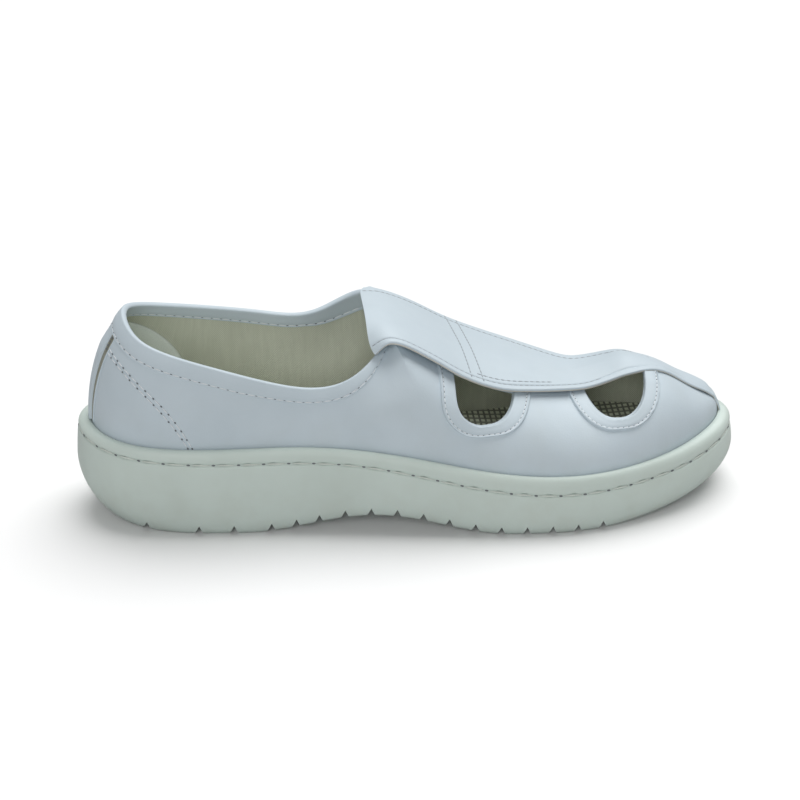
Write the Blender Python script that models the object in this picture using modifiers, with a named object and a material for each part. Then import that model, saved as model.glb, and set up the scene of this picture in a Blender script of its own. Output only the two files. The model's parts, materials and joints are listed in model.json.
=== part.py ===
"""Cleanroom slip-on shoe for the right foot, as an assembly of its maker's pieces.

A moulded sole cups a thin upper with two vent eyes on each side. A wide strap runs between the eyes from the
throat to the toe. Heel at -X, toe at +X, medial side at +Y, floor at z = 0.
"""

import math
from collections import namedtuple

import bmesh
import bpy
import numpy as np
from mathutils import Vector
from mathutils.bvhtree import BVHTree

# Driving sizes, in metres
LENGTH = 0.2865         # heel to toe, over the sole
BALL_WIDTH = 0.102      # over the sole, at the ball
INSTEP_HEIGHT = 0.080   # floor to the crest of the upper at the throat
HEEL_RIM = 0.040        # floor to the sole's rim beside the heel
HEEL_FLOOR = 0.0295     # floor to the foot's bed under the heel
BALL_FLOOR = 0.0158     # floor to the foot's bed under the ball

WALL = 0.0018           # upper: coated fabric and its canvas lining
STRAP_THICKNESS = 0.0016
INSOLE_THICKNESS = 0.0028
OVERLAY = 0.0007        # eye bands, back stay, heel grip and collar binding
GAP = 0.0003            # between pieces that meet

# Bottom line of the sole: where it lifts, arches and springs, as shares of the length
HEEL_LIFT_END = 0.156
ARCH_START, ARCH_END = 0.25, 0.64
SPRING_START = 0.73
HEEL_LIFT = 0.0035
ARCH_RISE = 0.0078
TOE_SPRING = 0.006

# Foot's bed: where it falls from heel to ball, as shares of the length
FALL_START, FALL_END = 0.20, 0.68

# Moulded side of the sole
CUP_INSET = 0.0046      # inner face of the rim, in from the widest line
BEAD_HEIGHT = 0.0066    # bead at the rim, above the stitched groove
WIDEST_SHARE = 0.52     # height of the widest line between the bottom and the groove

# Tread: notches across the bottom, as shares of the length
HEEL_NOTCHES = (0.106, 0.186, 0.238, 0.292)
FRONT_NOTCH_START, FRONT_NOTCH_PITCH, FRONT_NOTCH_COUNT = 0.322, 0.0384, 13
NOTCH_WIDTH = 0.0036
NOTCH_DEPTH = 0.0036

# Fineness of the facets
COLUMNS = (3, 3, 3, 3, 3, 5, 5, 4, 3, 3, 3, 3, 3)  # from each section to the next
WALL_ROWS = 9           # of the upper above the rim
STRAP_ROWS = 2          # between two rows of the strap's table
STRAP_COLUMNS = 10
CORNER_POINTS = 5       # on each rounded corner of an eye
SMOOTH_ANGLE = 40       # sharper edges stay sharp, in degrees

# Sections from heel to toe. Outline points lie on the widest line, as shares of the length and the ball width.
# Rim is a share of HEEL_RIM. Tuck draws the tread's edge in where heel and toe round under, and draft draws
# the rim in where the side leans over the upper.
Section = namedtuple("Section", "lateral_x lateral_y medial_x medial_y rim tuck draft")
SECTIONS = (
    Section(0.000, 0.000, 0.000, 0.000, 1.045, 0.0085, 0.0016),    # heel back
    Section(0.031, -0.216, 0.028, 0.216, 1.030, 0.0060, 0.0012),   # heel corner
    Section(0.105, -0.338, 0.102, 0.333, 1.010, 0.0025, 0.0004),   # heel side
    Section(0.202, -0.371, 0.199, 0.358, 1.000, 0.0000, 0.0000),   # heel breast
    Section(0.297, -0.380, 0.294, 0.328, 1.008, 0.0000, 0.0000),   # ankle
    Section(0.377, -0.395, 0.374, 0.307, 0.990, 0.0000, 0.0000),   # arch
    Section(0.446, -0.420, 0.443, 0.319, 0.940, 0.0000, 0.0000),   # waist
    Section(0.520, -0.451, 0.520, 0.368, 0.855, 0.0000, 0.0000),   # throat
    Section(0.600, -0.483, 0.604, 0.436, 0.750, 0.0000, 0.0000),   # rear eye
    Section(0.688, -0.500, 0.692, 0.490, 0.680, 0.0000, 0.0000),   # ball
    Section(0.775, -0.474, 0.778, 0.500, 0.665, 0.0000, 0.0000),   # bend
    Section(0.862, -0.387, 0.866, 0.451, 0.690, 0.0015, 0.0006),   # front eye
    Section(0.946, -0.235, 0.949, 0.328, 0.750, 0.0045, 0.0020),   # toe corner
    Section(1.000, 0.039, 1.000, 0.039, 0.805, 0.0065, 0.0036),    # toe tip
)
LAST = len(SECTIONS) - 1
THROAT = 7              # section where the collar closes over the instep

# Top edge of the quarters, a row for each section from the heel to the throat.
# Shares of the length, the ball width and the instep height.
CollarPoint = namedtuple("CollarPoint", "lateral_x lateral_y lateral_z medial_x medial_y medial_z")
COLLAR = (
    CollarPoint(0.074, 0.000, 1.126, 0.074, 0.000, 1.126),
    CollarPoint(0.090, -0.178, 1.076, 0.093, 0.157, 1.089),
    CollarPoint(0.140, -0.282, 1.017, 0.140, 0.240, 1.034),
    CollarPoint(0.209, -0.317, 0.945, 0.202, 0.277, 0.990),
    CollarPoint(0.282, -0.320, 0.862, 0.286, 0.284, 0.944),
    CollarPoint(0.361, -0.307, 0.810, 0.363, 0.272, 0.928),
    CollarPoint(0.429, -0.275, 0.902, 0.430, 0.258, 1.026),
    CollarPoint(0.500, 0.000, 0.978, 0.500, 0.000, 0.978),
)

# Crest of the vamp from the throat to the toe: shares of the length, the ball width and the instep height.
CrestPoint = namedtuple("CrestPoint", "x y z")
CREST = (
    CrestPoint(0.500, 0.000, 0.978),
    CrestPoint(0.586, 0.005, 0.824),
    CrestPoint(0.678, 0.010, 0.700),
    CrestPoint(0.758, 0.015, 0.645),   # dip where the foot bends
    CrestPoint(0.841, 0.025, 0.712),   # bulge over the toes
    CrestPoint(0.904, 0.034, 0.605),
    CrestPoint(0.944, 0.040, 0.514),
)

# Wall of the upper at each section: turn is the lean of its top in degrees, 0 upright and 90 level.
# Rise and crown are the curve's handles at foot and top, as shares of the distance between them.
Wall = namedtuple("Wall", "turn rise crown")
WALLS = (
    Wall(38, 0.34, 0.34),
    Wall(30, 0.36, 0.34),
    Wall(20, 0.38, 0.34),
    Wall(14, 0.36, 0.34),
    Wall(12, 0.36, 0.34),
    Wall(16, 0.38, 0.34),
    Wall(38, 0.42, 0.36),
    Wall(84, 0.46, 0.44),
    Wall(90, 0.40, 0.48),
    Wall(90, 0.34, 0.50),
    Wall(90, 0.30, 0.50),
    Wall(88, 0.36, 0.48),
    Wall(74, 0.40, 0.42),
    Wall(56, 0.42, 0.36),
)

# Side of the sole from the tread up: inset from the widest line, share of the way from the bottom up to the
# groove below the bead, a lift from there, and the share it takes of the section's draft.
SideRow = namedtuple("SideRow", "inset share lift draft")
SOLE_SIDE = (
    SideRow(0.0055, 0.00, 0.0, 0.0),
    SideRow(0.0030, 0.05, 0.0, 0.0),
    SideRow(0.0010, 0.22, 0.0, 0.0),
    SideRow(0.0000, WIDEST_SHARE, 0.0, 0.0),
    SideRow(0.0007, 1.00, -0.0010, 0.30),
    SideRow(0.0021, 1.00, 0.0000, 0.30),       # stitched groove
    SideRow(0.0009, 1.00, 0.0010, 0.35),
    SideRow(0.0009, 1.00, 0.0040, 0.45),       # bead
    SideRow(0.0019, 1.00, 0.0058, 0.60),
    SideRow(0.0034, 1.00, BEAD_HEIGHT, 0.80),
    SideRow(CUP_INSET, 1.00, BEAD_HEIGHT - 0.0004, 1.00),
)

# Vent eyes seen from the side: where their rear and front edges start and end along the length, the height of
# the foot, the rounding of its corners, and how near the eye comes to the centre line under the strap.
# The band round an eye is cut from the wall between two sections.
Eye = namedtuple("Eye", "name rear_top rear_foot front_foot front_top foot rear_round front_round reach sections")
EYES = (
    Eye("rear", 0.1600, 0.1600, 0.1815, 0.2010, 0.0484, 0.0105, 0.0100, 0.020, (7, 10)),
    Eye("front", 0.2050, 0.2220, 0.2455, 0.2455, 0.0457, 0.0140, 0.0125, 0.007, (9, 12)),
)
EYE_TOP = 0.074         # above the vamp, because the strap covers the eye's upper end
BAND_WIDTH = 0.0064     # beside the eye
BAND_FOOT = 0.0038      # below it, where the wall leans, seen from the side
BAND_REACH = 0.004      # how much nearer the centre line the band comes than its eye

# Strap from the throat to the toe: shares of the length and the ball width, then heights of its top face and its
# least distance from the upper, which leaves room for the eye bands.
StrapRow = namedtuple("StrapRow", "x lateral medial crest lateral_drop medial_drop clear")
STRAP = (
    StrapRow(0.434, -0.258, 0.260, 0.0870, 0.0066, 0.0011, 0.0017),
    StrapRow(0.467, -0.266, 0.265, 0.0863, 0.0033, 0.0014, 0.0017),
    StrapRow(0.510, -0.270, 0.270, 0.0812, 0.0022, 0.0016, 0.0017),
    StrapRow(0.545, -0.279, 0.282, 0.0756, 0.0028, 0.0020, 0.0017),
    StrapRow(0.579, -0.284, 0.289, 0.0700, 0.0032, 0.0017, 0.0017),
    StrapRow(0.631, -0.263, 0.281, 0.0636, 0.0036, 0.0012, 0.0017),
    StrapRow(0.685, -0.219, 0.245, 0.0586, 0.0023, 0.0008, 0.0017),
    StrapRow(0.737, -0.168, 0.190, 0.0549, 0.0010, 0.0006, 0.0017),
    StrapRow(0.769, -0.148, 0.178, 0.0547, 0.0010, 0.0010, 0.0017),
    StrapRow(0.806, -0.118, 0.157, 0.0580, 0.0016, 0.0014, 0.0017),
    StrapRow(0.841, -0.090, 0.138, 0.0600, 0.0016, 0.0020, 0.0017),
    StrapRow(0.887, -0.045, 0.112, 0.0543, 0.0018, 0.0008, 0.0017),
    StrapRow(0.922, -0.030, 0.103, 0.0494, 0.0018, 0.0006, 0.0010),
    StrapRow(0.956, -0.012, 0.090, 0.0440, 0.0015, 0.0006, 0.0007),
    StrapRow(0.967, 0.000, 0.084, 0.0402, 0.0012, 0.0004, 0.0006),
    StrapRow(0.975, 0.006, 0.078, 0.0372, 0.0010, 0.0004, 0.0006),
    StrapRow(0.980, 0.010, 0.074, 0.0342, 0.0008, 0.0004, 0.0006),
)
REAR_CORNER = 0.002     # rounding of the strap's rear corners
STEEPEST = 0.6          # upright part of the upper's normal below which the strap isn't lifted further

# Back stay over the heel seam: half widths in sections from the centre back, ends as shares of the wall
STAY_FOOT, STAY_TOP = 0.03, 0.82
STAY_FOOT_WIDTH, STAY_TOP_WIDTH = 0.27, 0.31

# Heel grip inside the quarters: half width in sections, ends as shares of the wall
GRIP_END = 2.7
GRIP_FOOT, GRIP_TOP = 0.12, 0.82
GRIP_FULLNESS = 2.5     # 2 is an ellipse, more is squarer
GRIP_TIP = 0.98         # how far along its half width the grip's side is cut off square

BINDING_END = 6.4       # sections from the centre back to the binding's ends under the strap
BINDING_OUTSIDE, BINDING_INSIDE = 0.0074, 0.0057
BINDING_ROUND = 0.0005  # bevel of its fold

COLOURS = {             # linear base colour and roughness
    "sole": ((0.66, 0.70, 0.64, 1), 0.55),
    "leather": ((0.74, 0.79, 0.85, 1), 0.42),
    "insole": ((0.10, 0.10, 0.08, 1), 0.90),
    "lining": ((0.62, 0.62, 0.54, 1), 0.85),
}

UP = np.array((0.0, 0.0, 1.0))
STEP = 1e-3             # for slopes, in sections or shares of the wall


class Spline:
    """Smooth curve through values at 0, 1, 2 and on, closed into a loop or with free ends."""

    def __init__(self, values, closed):
        self.values = np.array(values, float)
        self.closed = closed
        count = len(self.values)
        system = np.eye(count)
        right = np.zeros_like(self.values)
        for i in range(count) if closed else range(1, count - 1):
            before, after = (i - 1) % count, (i + 1) % count
            system[i, [before, i, after]] = 1, 4, 1
            right[i] = 6 * (self.values[before] - 2 * self.values[i] + self.values[after])
        self.bends = np.linalg.solve(system, right)

    def __call__(self, at):
        count = len(self.values)
        first = math.floor(at)
        if not self.closed:
            first = min(max(first, 0), count - 2)
        share = at - first
        rest = 1 - share
        i, j = first % count, (first + 1) % count
        bend = (rest**3 - rest) * self.bends[i] + (share**3 - share) * self.bends[j]
        return rest * self.values[i] + share * self.values[j] + bend / 6


def loop_spline(lateral, medial):
    """Spline round the shoe: lateral rows from the heel to the front, then medial rows back to the heel."""
    return Spline(list(lateral) + list(medial)[-2:0:-1], closed=True)


FULL_SIZE = np.array((LENGTH, BALL_WIDTH, INSTEP_HEIGHT))
RIM_TUCK_DRAFT = [(row.rim * HEEL_RIM, row.tuck, row.draft) for row in SECTIONS]
OUTLINE = loop_spline(
    [(row.lateral_x * LENGTH, row.lateral_y * BALL_WIDTH) for row in SECTIONS],
    [(row.medial_x * LENGTH, row.medial_y * BALL_WIDTH) for row in SECTIONS],
)
SOLE_SHAPE = loop_spline(RIM_TUCK_DRAFT, RIM_TUCK_DRAFT)
WALL_SHAPE = loop_spline(WALLS, WALLS)
COLLAR_EDGE = loop_spline(
    [FULL_SIZE * (row.lateral_x, row.lateral_y, row.lateral_z) for row in COLLAR],
    [FULL_SIZE * (row.medial_x, row.medial_y, row.medial_z) for row in COLLAR],
)
CREST_LINE = Spline([FULL_SIZE * row for row in CREST], closed=False)
STRAP_SHAPE = Spline(STRAP, closed=False)


# The last. A place round the shoe is counted in sections from the centre back, lateral positive, medial negative.

def smooth_step(share):
    share = min(max(share, 0.0), 1.0)
    return share * share * (3 - 2 * share)


def outward(place):
    """Level direction that points out of the shoe, square to its outline."""
    along_x, along_y = OUTLINE(place + STEP) - OUTLINE(place - STEP)
    return np.array((along_y, -along_x, 0.0)) / math.hypot(along_x, along_y)


def outline_point(place, inset, height=0.0):
    """Point inside the sole's widest line, at a height."""
    x, y = OUTLINE(place)
    return np.array((x, y, height)) - inset * outward(place)


def toe_spring(at):
    return TOE_SPRING * max(0.0, (at - SPRING_START) / (1 - SPRING_START)) ** 2


def bottom_height(x):
    at = x / LENGTH
    height = toe_spring(at)
    if at < HEEL_LIFT_END:
        height += HEEL_LIFT * (1 - at / HEEL_LIFT_END) ** 2
    if ARCH_START < at < ARCH_END:
        height += ARCH_RISE * math.sin(math.pi * (at - ARCH_START) / (ARCH_END - ARCH_START)) ** 2
    return height


def bed_height(x):
    """Floor of the sole's cup, where the foot's bed lies."""
    at = x / LENGTH
    fall = smooth_step((at - FALL_START) / (FALL_END - FALL_START))
    return HEEL_FLOOR + (BALL_FLOOR - HEEL_FLOOR) * fall + toe_spring(at)


def cup_point(place, inset, height=0.0):
    """Point inside the sole's rim, which leans in at heel and toe."""
    *_, draft = SOLE_SHAPE(place)
    return outline_point(place, inset + draft, height)


def bed_point(place, inset, lift=0.0):
    point = cup_point(place, inset)
    point[2] = bed_height(point[0]) + lift
    return point


def sole_side_point(place, row):
    rim, tuck, draft = SOLE_SHAPE(place)
    tuck *= max(0.0, 1 - row.share / WIDEST_SHARE) ** 2
    point = outline_point(place, row.inset + tuck + row.draft * draft)
    bottom = bottom_height(point[0])
    groove = rim - BEAD_HEIGHT
    point[2] = bottom + row.share * (groove - bottom) + row.lift
    return point


def top_edge(place):
    """Top of the upper's wall: the collar as far as the throat, then the crest of the vamp."""
    if abs(place) <= THROAT:
        return COLLAR_EDGE(place)
    return CREST_LINE(min(abs(place), 2 * LAST - abs(place)) - THROAT)


UPPER_INSET = CUP_INSET + GAP


def wall_point(place, share, out=0.0):
    """Outer face of the upper, from the sole's rim at 0 to the top edge at 1, moved outwards by a distance."""
    rim, *_ = SOLE_SHAPE(place)
    turn, rise, crown = WALL_SHAPE(place)
    foot = cup_point(place, UPPER_INSET, rim)
    top = top_edge(place)
    reach = np.linalg.norm(top - foot)
    lean = math.radians(min(turn, 90))
    low = foot + rise * reach * UP
    high = top + crown * reach * (math.sin(lean) * outward(place) - math.cos(lean) * UP)
    rest = 1 - share
    point = rest**3 * foot + 3 * rest**2 * share * low + 3 * rest * share**2 * high + share**3 * top
    return point + out * wall_normal(place, share) if out else point


def wall_normal(place, share):
    along = wall_point(place + STEP, share) - wall_point(place - STEP, share)
    upwards = wall_point(place, share + STEP) - wall_point(place, share - STEP)
    normal = np.cross(along, upwards)
    return normal / np.linalg.norm(normal)


def wall_shares(place):
    """Shares of the wall's rows: even steps up to the foot of the collar's binding, then the top edge."""
    pace = np.linalg.norm(wall_point(place, 1.0) - wall_point(place, 1.0 - STEP)) / STEP
    foot = 1 - BINDING_OUTSIDE / pace
    return [foot * row / (WALL_ROWS - 1) for row in range(WALL_ROWS)] + [1.0]


def lateral_places(first, last):
    """Places of the columns between two sections, on the lateral side."""
    return [i + j / COLUMNS[i] for i in range(first, last) for j in range(COLUMNS[i])] + [last]


def places_round():
    """Places of the columns, from the heel along the lateral side to the toe and back."""
    lateral = lateral_places(0, LAST)
    return lateral + [-place for place in lateral[-2:0:-1]]


def heel_places(end):
    """Places of the columns round the heel, as far as an end on each side."""
    lateral = [place for place in lateral_places(0, LAST) if place <= end]
    return [-place for place in lateral[:0:-1]] + lateral


# Meshes and objects

def remove_startup_objects():
    for obj in list(bpy.data.objects):
        bpy.data.objects.remove(obj, do_unlink=True)


def new_collection(name):
    collection = bpy.data.collections.new(name)
    bpy.context.scene.collection.children.link(collection)
    return collection


def material(name):
    if name in bpy.data.materials:
        return bpy.data.materials[name]
    colour, roughness = COLOURS[name]
    made = bpy.data.materials.new(name)
    made.use_nodes = True
    shader = made.node_tree.nodes["Principled BSDF"]
    shader.inputs["Base Color"].default_value = colour
    shader.inputs["Roughness"].default_value = roughness
    shader.inputs["Metallic"].default_value = 0.0
    return made


def mesh_from_bmesh(name, bm):
    mesh = bpy.data.meshes.new(name)
    bm.to_mesh(mesh)
    bm.free()
    return mesh


def grid_bmesh(grid, wrap=False):
    """Triangles over a grid of points, a list of columns, closed from the last to the first where it wraps.

    Each square of the grid is split along its shorter diagonal, so pieces that lie on each other split alike.
    """
    bm = bmesh.new()
    columns = [[bm.verts.new(point) for point in column] for column in grid]
    following = columns[1:] + columns[:1] if wrap else columns[1:]
    for column, after in zip(columns, following):
        for low in range(len(column) - 1):
            a, b, c, d = column[low], after[low], after[low + 1], column[low + 1]
            if (a.co - c.co).length <= (b.co - d.co).length:
                halves = (a, b, c), (a, c, d)
            else:
                halves = (a, b, d), (b, c, d)
            for half in halves:
                bm.faces.new(half)
    return bm, columns


def capped_loft(name, grid):
    """Closed solid from columns of points round the shoe, with both ends closed across its width."""
    bm, columns = grid_bmesh(grid, wrap=True)
    half = len(columns) // 2
    lateral = columns[:half + 1]
    medial = columns[:1] + columns[:half - 1:-1]
    for end, turned in ((0, True), (-1, False)):
        for i in range(half):
            ring = (lateral[i][end], lateral[i + 1][end], medial[i + 1][end], medial[i][end])
            corners = list(dict.fromkeys(ring))
            bm.faces.new(corners[::-1] if turned else corners)
    return mesh_from_bmesh(name, bm)


def prisms(name, shapes):
    """Solids that run across the shoe, each from an outline of x and z and the two ends of its width."""
    bm = bmesh.new()
    for outline, near, far in shapes:
        face = bm.faces.new([bm.verts.new((x, near, z)) for x, z in outline])
        sweep = bmesh.ops.extrude_face_region(bm, geom=[face])
        moved = [item for item in sweep["geom"] if isinstance(item, bmesh.types.BMVert)]
        bmesh.ops.translate(bm, verts=moved, vec=Vector((0, far - near, 0)))
    bmesh.ops.recalc_face_normals(bm, faces=bm.faces)
    return mesh_from_bmesh(name, bm)


class Assembly:
    """Collections of the shoe's pieces and of their cutters, under one empty at the heel's end of the floor."""

    def __init__(self, name):
        self.pieces = new_collection(name)
        self.cutters = new_collection(name + "_cutters")
        self.heel = bpy.data.objects.new(name + "_heel", None)
        self.heel.location = (-LENGTH / 2, 0, 0)
        self.pieces.objects.link(self.heel)

    def add(self, collection, mesh):
        obj = bpy.data.objects.new(mesh.name, mesh)
        obj.parent = self.heel
        collection.objects.link(obj)
        return obj

    def piece(self, mesh, finish):
        mesh.materials.append(material(finish))
        mesh.shade_smooth()
        mesh.set_sharp_from_angle(angle=math.radians(SMOOTH_ANGLE))
        return self.add(self.pieces, mesh)

    def sheet(self, name, grid, thickness, finish):
        """Piece that is an open surface, given its thickness inwards from its outer face."""
        bm, _ = grid_bmesh(grid)
        obj = self.piece(mesh_from_bmesh(name, bm), finish)
        thicken(obj, thickness)
        return obj

    def cutter(self, mesh):
        obj = self.add(self.cutters, mesh)
        obj.hide_render = True
        obj.display_type = "WIRE"
        return obj


def thicken(obj, thickness):
    wall = obj.modifiers.new("thickness", "SOLIDIFY")
    wall.thickness = thickness
    wall.offset = -1
    wall.use_even_offset = True


def cut(obj, cutter, operation="DIFFERENCE"):
    boolean = obj.modifiers.new(cutter.name, "BOOLEAN")
    boolean.operation = operation
    boolean.object = cutter


# Outlines of the eyes

def rounded_corner(before, corner, after, radius):
    """Points of an arc that rounds a corner between two straight edges."""
    back = (before - corner) / np.linalg.norm(before - corner)
    ahead = (after - corner) / np.linalg.norm(after - corner)
    half = math.acos(back @ ahead) / 2
    middle = (back + ahead) / np.linalg.norm(back + ahead)
    centre = corner + middle * radius / math.sin(half)
    first = corner + back * radius / math.tan(half) - centre
    last = corner + ahead * radius / math.tan(half) - centre
    points = []
    for i in range(CORNER_POINTS + 1):
        share = i / CORNER_POINTS
        spoke = first * (1 - share) + last * share
        points.append(centre + spoke * radius / np.linalg.norm(spoke))
    return points


def moved_edge(start, end, distance):
    """Edge moved to its right: a point on it and its direction."""
    along = (end - start) / np.linalg.norm(end - start)
    return start + distance * np.array((along[1], -along[0])), along


def crossing(edge, other):
    (point, along), (other_point, other_along) = edge, other
    share, _ = np.linalg.solve(np.column_stack((along, -other_along)), other_point - point)
    return point + share * along


def eye_outline(eye, side_margin=0.0, foot_margin=0.0):
    """Eye seen from the side, made larger by margins at its two sides and at its foot."""
    corners = [
        np.array((eye.rear_top, EYE_TOP)),
        np.array((eye.rear_foot, eye.foot)),
        np.array((eye.front_foot, eye.foot)),
        np.array((eye.front_top, EYE_TOP)),
    ]
    rear = moved_edge(corners[0], corners[1], side_margin)
    foot = moved_edge(corners[1], corners[2], foot_margin)
    front = moved_edge(corners[2], corners[3], side_margin)
    top = moved_edge(corners[3], corners[0], 0.0)
    rear_top, rear_foot = crossing(rear, top), crossing(rear, foot)
    front_foot, front_top = crossing(foot, front), crossing(front, top)
    return (
        [rear_top]
        + rounded_corner(rear_top, rear_foot, front_foot, eye.rear_round + foot_margin)
        + rounded_corner(rear_foot, front_foot, front_top, eye.front_round + foot_margin)
        + [front_top]
    )


# Pieces

def make_sole(shoe):
    grid = []
    for place in places_round():
        side = [sole_side_point(place, row) for row in SOLE_SIDE]
        grid.append(side + [bed_point(place, CUP_INSET)])
    sole = shoe.piece(capped_loft("sole", grid), "sole")
    notches = list(HEEL_NOTCHES)
    notches += [FRONT_NOTCH_START + i * FRONT_NOTCH_PITCH for i in range(FRONT_NOTCH_COUNT)]
    shapes = []
    for at in notches:
        x = at * LENGTH
        floor = bottom_height(x)
        below = floor - NOTCH_DEPTH
        outline = ((x - NOTCH_WIDTH, below), (x + NOTCH_WIDTH, below), (x, floor + NOTCH_DEPTH))
        shapes.append((outline, -BALL_WIDTH, BALL_WIDTH))
    cut(sole, shoe.cutter(prisms("notches", shapes)))


def make_insole(shoe):
    inset = UPPER_INSET + WALL + GAP
    grid = []
    for place in places_round():
        grid.append([bed_point(place, inset, GAP), bed_point(place, inset, GAP + INSOLE_THICKNESS)])
    shoe.piece(capped_loft("insole", grid), "insole")


def upper_surface():
    """Outer face of the upper, from the lasting edge in the cup to the collar and the crest."""
    grid = []
    for place in places_round():
        wall = [wall_point(place, share) for share in wall_shares(place)]
        grid.append([bed_point(place, UPPER_INSET, GAP)] + wall)
    bm, _ = grid_bmesh(grid, wrap=True)
    bmesh.ops.remove_doubles(bm, verts=bm.verts, dist=1e-6)
    return bm


def make_upper(shoe, eyes):
    upper = shoe.piece(mesh_from_bmesh("upper", upper_surface()), "leather")
    thicken(upper, WALL)
    cut(upper, eyes)


def make_eyes(shoe):
    """Cutter for the eyes of both sides."""
    shapes = []
    for eye in EYES:
        for sign in (-1, 1):
            shapes.append((eye_outline(eye), sign * eye.reach, sign * BALL_WIDTH))
    return shoe.cutter(prisms("eyes", shapes))


def make_eye_bands(shoe, eyes):
    """Bands stitched round the eyes, cut from the upper's own surface."""
    for eye in EYES:
        places = lateral_places(*eye.sections)
        sides = (("lateral", -1, places), ("medial", 1, [-place for place in reversed(places)]))
        for side, sign, columns in sides:
            name = f"eye_band_{eye.name}_{side}"
            grid = []
            for place in columns:
                grid.append([wall_point(place, share, GAP + OVERLAY) for share in wall_shares(place)])
            band = shoe.sheet(name, grid, OVERLAY, "leather")
            end = sign * (eye.reach - BAND_REACH)
            edge = prisms(name + "_edge", [(eye_outline(eye, BAND_WIDTH, BAND_FOOT), end, sign * BALL_WIDTH)])
            cut(band, shoe.cutter(edge), "INTERSECT")
            cut(band, eyes)


def make_strap(shoe):
    """Strap laid over the vamp, flatter than the upper and clear of it."""
    bm = upper_surface()
    upper = BVHTree.FromBMesh(bm)
    bm.free()
    grid = []
    count = (len(STRAP) - 1) * STRAP_ROWS
    for i in range(count + 1):
        row = StrapRow(*STRAP_SHAPE(i / STRAP_ROWS))
        corner = REAR_CORNER * max(0.0, 1 - i / STRAP_ROWS)
        column = []
        for j in range(STRAP_COLUMNS + 1):
            across = 2 * j / STRAP_COLUMNS - 1
            drop = row.medial_drop if across > 0 else row.lateral_drop
            x = row.x * LENGTH + corner * across**6
            y = (row.lateral + (row.medial - row.lateral) * j / STRAP_COLUMNS) * BALL_WIDTH
            z = row.crest - drop * across**2
            hit, normal, *_ = upper.ray_cast(Vector((x, y, 1.0)), Vector((0, 0, -1)))
            if hit:
                z = max(z, hit.z + (row.clear + STRAP_THICKNESS) / max(normal.z, STEEPEST))
            column.append((x, y, z))
        grid.append(column)
    shoe.sheet("strap", grid, STRAP_THICKNESS, "leather")


def make_back_stay(shoe):
    """Strip over the seam at the centre back, wider at its top."""
    columns = []
    for row in range(WALL_ROWS + 1):
        share = row / WALL_ROWS
        width = STAY_FOOT_WIDTH + (STAY_TOP_WIDTH - STAY_FOOT_WIDTH) * share
        height = STAY_FOOT + (STAY_TOP - STAY_FOOT) * share
        places = (-width, 0, width)
        columns.append([wall_point(place, height, GAP + OVERLAY) for place in places])
    grid = list(zip(*columns))
    shoe.sheet("back_stay", grid, OVERLAY, "leather")


def make_heel_grip(shoe):
    """Patch inside the heel, with a rounded top edge."""
    rows = WALL_ROWS // 2
    places = heel_places(GRIP_END)
    grid = []
    for place in places:
        across = GRIP_TIP * place / places[-1]
        height = (GRIP_TOP - GRIP_FOOT) * math.sqrt(1 - abs(across) ** GRIP_FULLNESS)
        shares = [GRIP_FOOT + height * row / rows for row in range(rows + 1)]
        grid.append([wall_point(place, share, -WALL - GAP) for share in shares])
    shoe.sheet("heel_grip", grid, OVERLAY, "lining")


def make_collar_binding(shoe):
    """Binding folded over the collar's edge, with a leg on each face of the wall."""
    outside, inside = GAP + OVERLAY, -WALL - GAP - OVERLAY
    grid = []
    for place in heel_places(BINDING_END):
        *_, foot_share, top_share = wall_shares(place)
        foot, top = wall_point(place, foot_share), wall_point(place, top_share)
        across = wall_normal(place, (foot_share + top_share) / 2)
        rise = np.cross(across, top_edge(place + STEP) - top_edge(place - STEP))
        rise /= np.linalg.norm(rise)
        fold = top + outside * rise
        shoulder = fold - BINDING_ROUND * rise
        grid.append([
            wall_point(place, foot_share, outside),
            shoulder + outside * across,
            fold + (outside - BINDING_ROUND) * across,
            fold + (inside + BINDING_ROUND) * across,
            shoulder + inside * across,
            top + (foot - top) * BINDING_INSIDE / BINDING_OUTSIDE + inside * across,
        ])
    shoe.sheet("collar_binding", grid, OVERLAY, "leather")


def main():
    remove_startup_objects()
    shoe = Assembly("cleanroom_shoe")
    eyes = make_eyes(shoe)
    make_sole(shoe)
    make_insole(shoe)
    make_upper(shoe, eyes)
    make_strap(shoe)
    make_eye_bands(shoe, eyes)
    make_collar_binding(shoe)
    make_back_stay(shoe)
    make_heel_grip(shoe)


main()
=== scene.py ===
# %% [markdown]
# # Dressing a cleanroom shoe
# The solid model gives the sizes and the collisions of a slip-on shoe for the right foot: a moulded sole, a
# thin coated upper with two vent eyes on each side, and a strap from the throat to the toe. This lesson
# dresses that model with fine surfaces, stitches and finishes. We load it first, as a fixed frame.

# %% Load the solid model
import json
import math

import bmesh
import bpy
import numpy as np
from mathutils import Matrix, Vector
from mathutils.bvhtree import BVHTree

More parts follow.
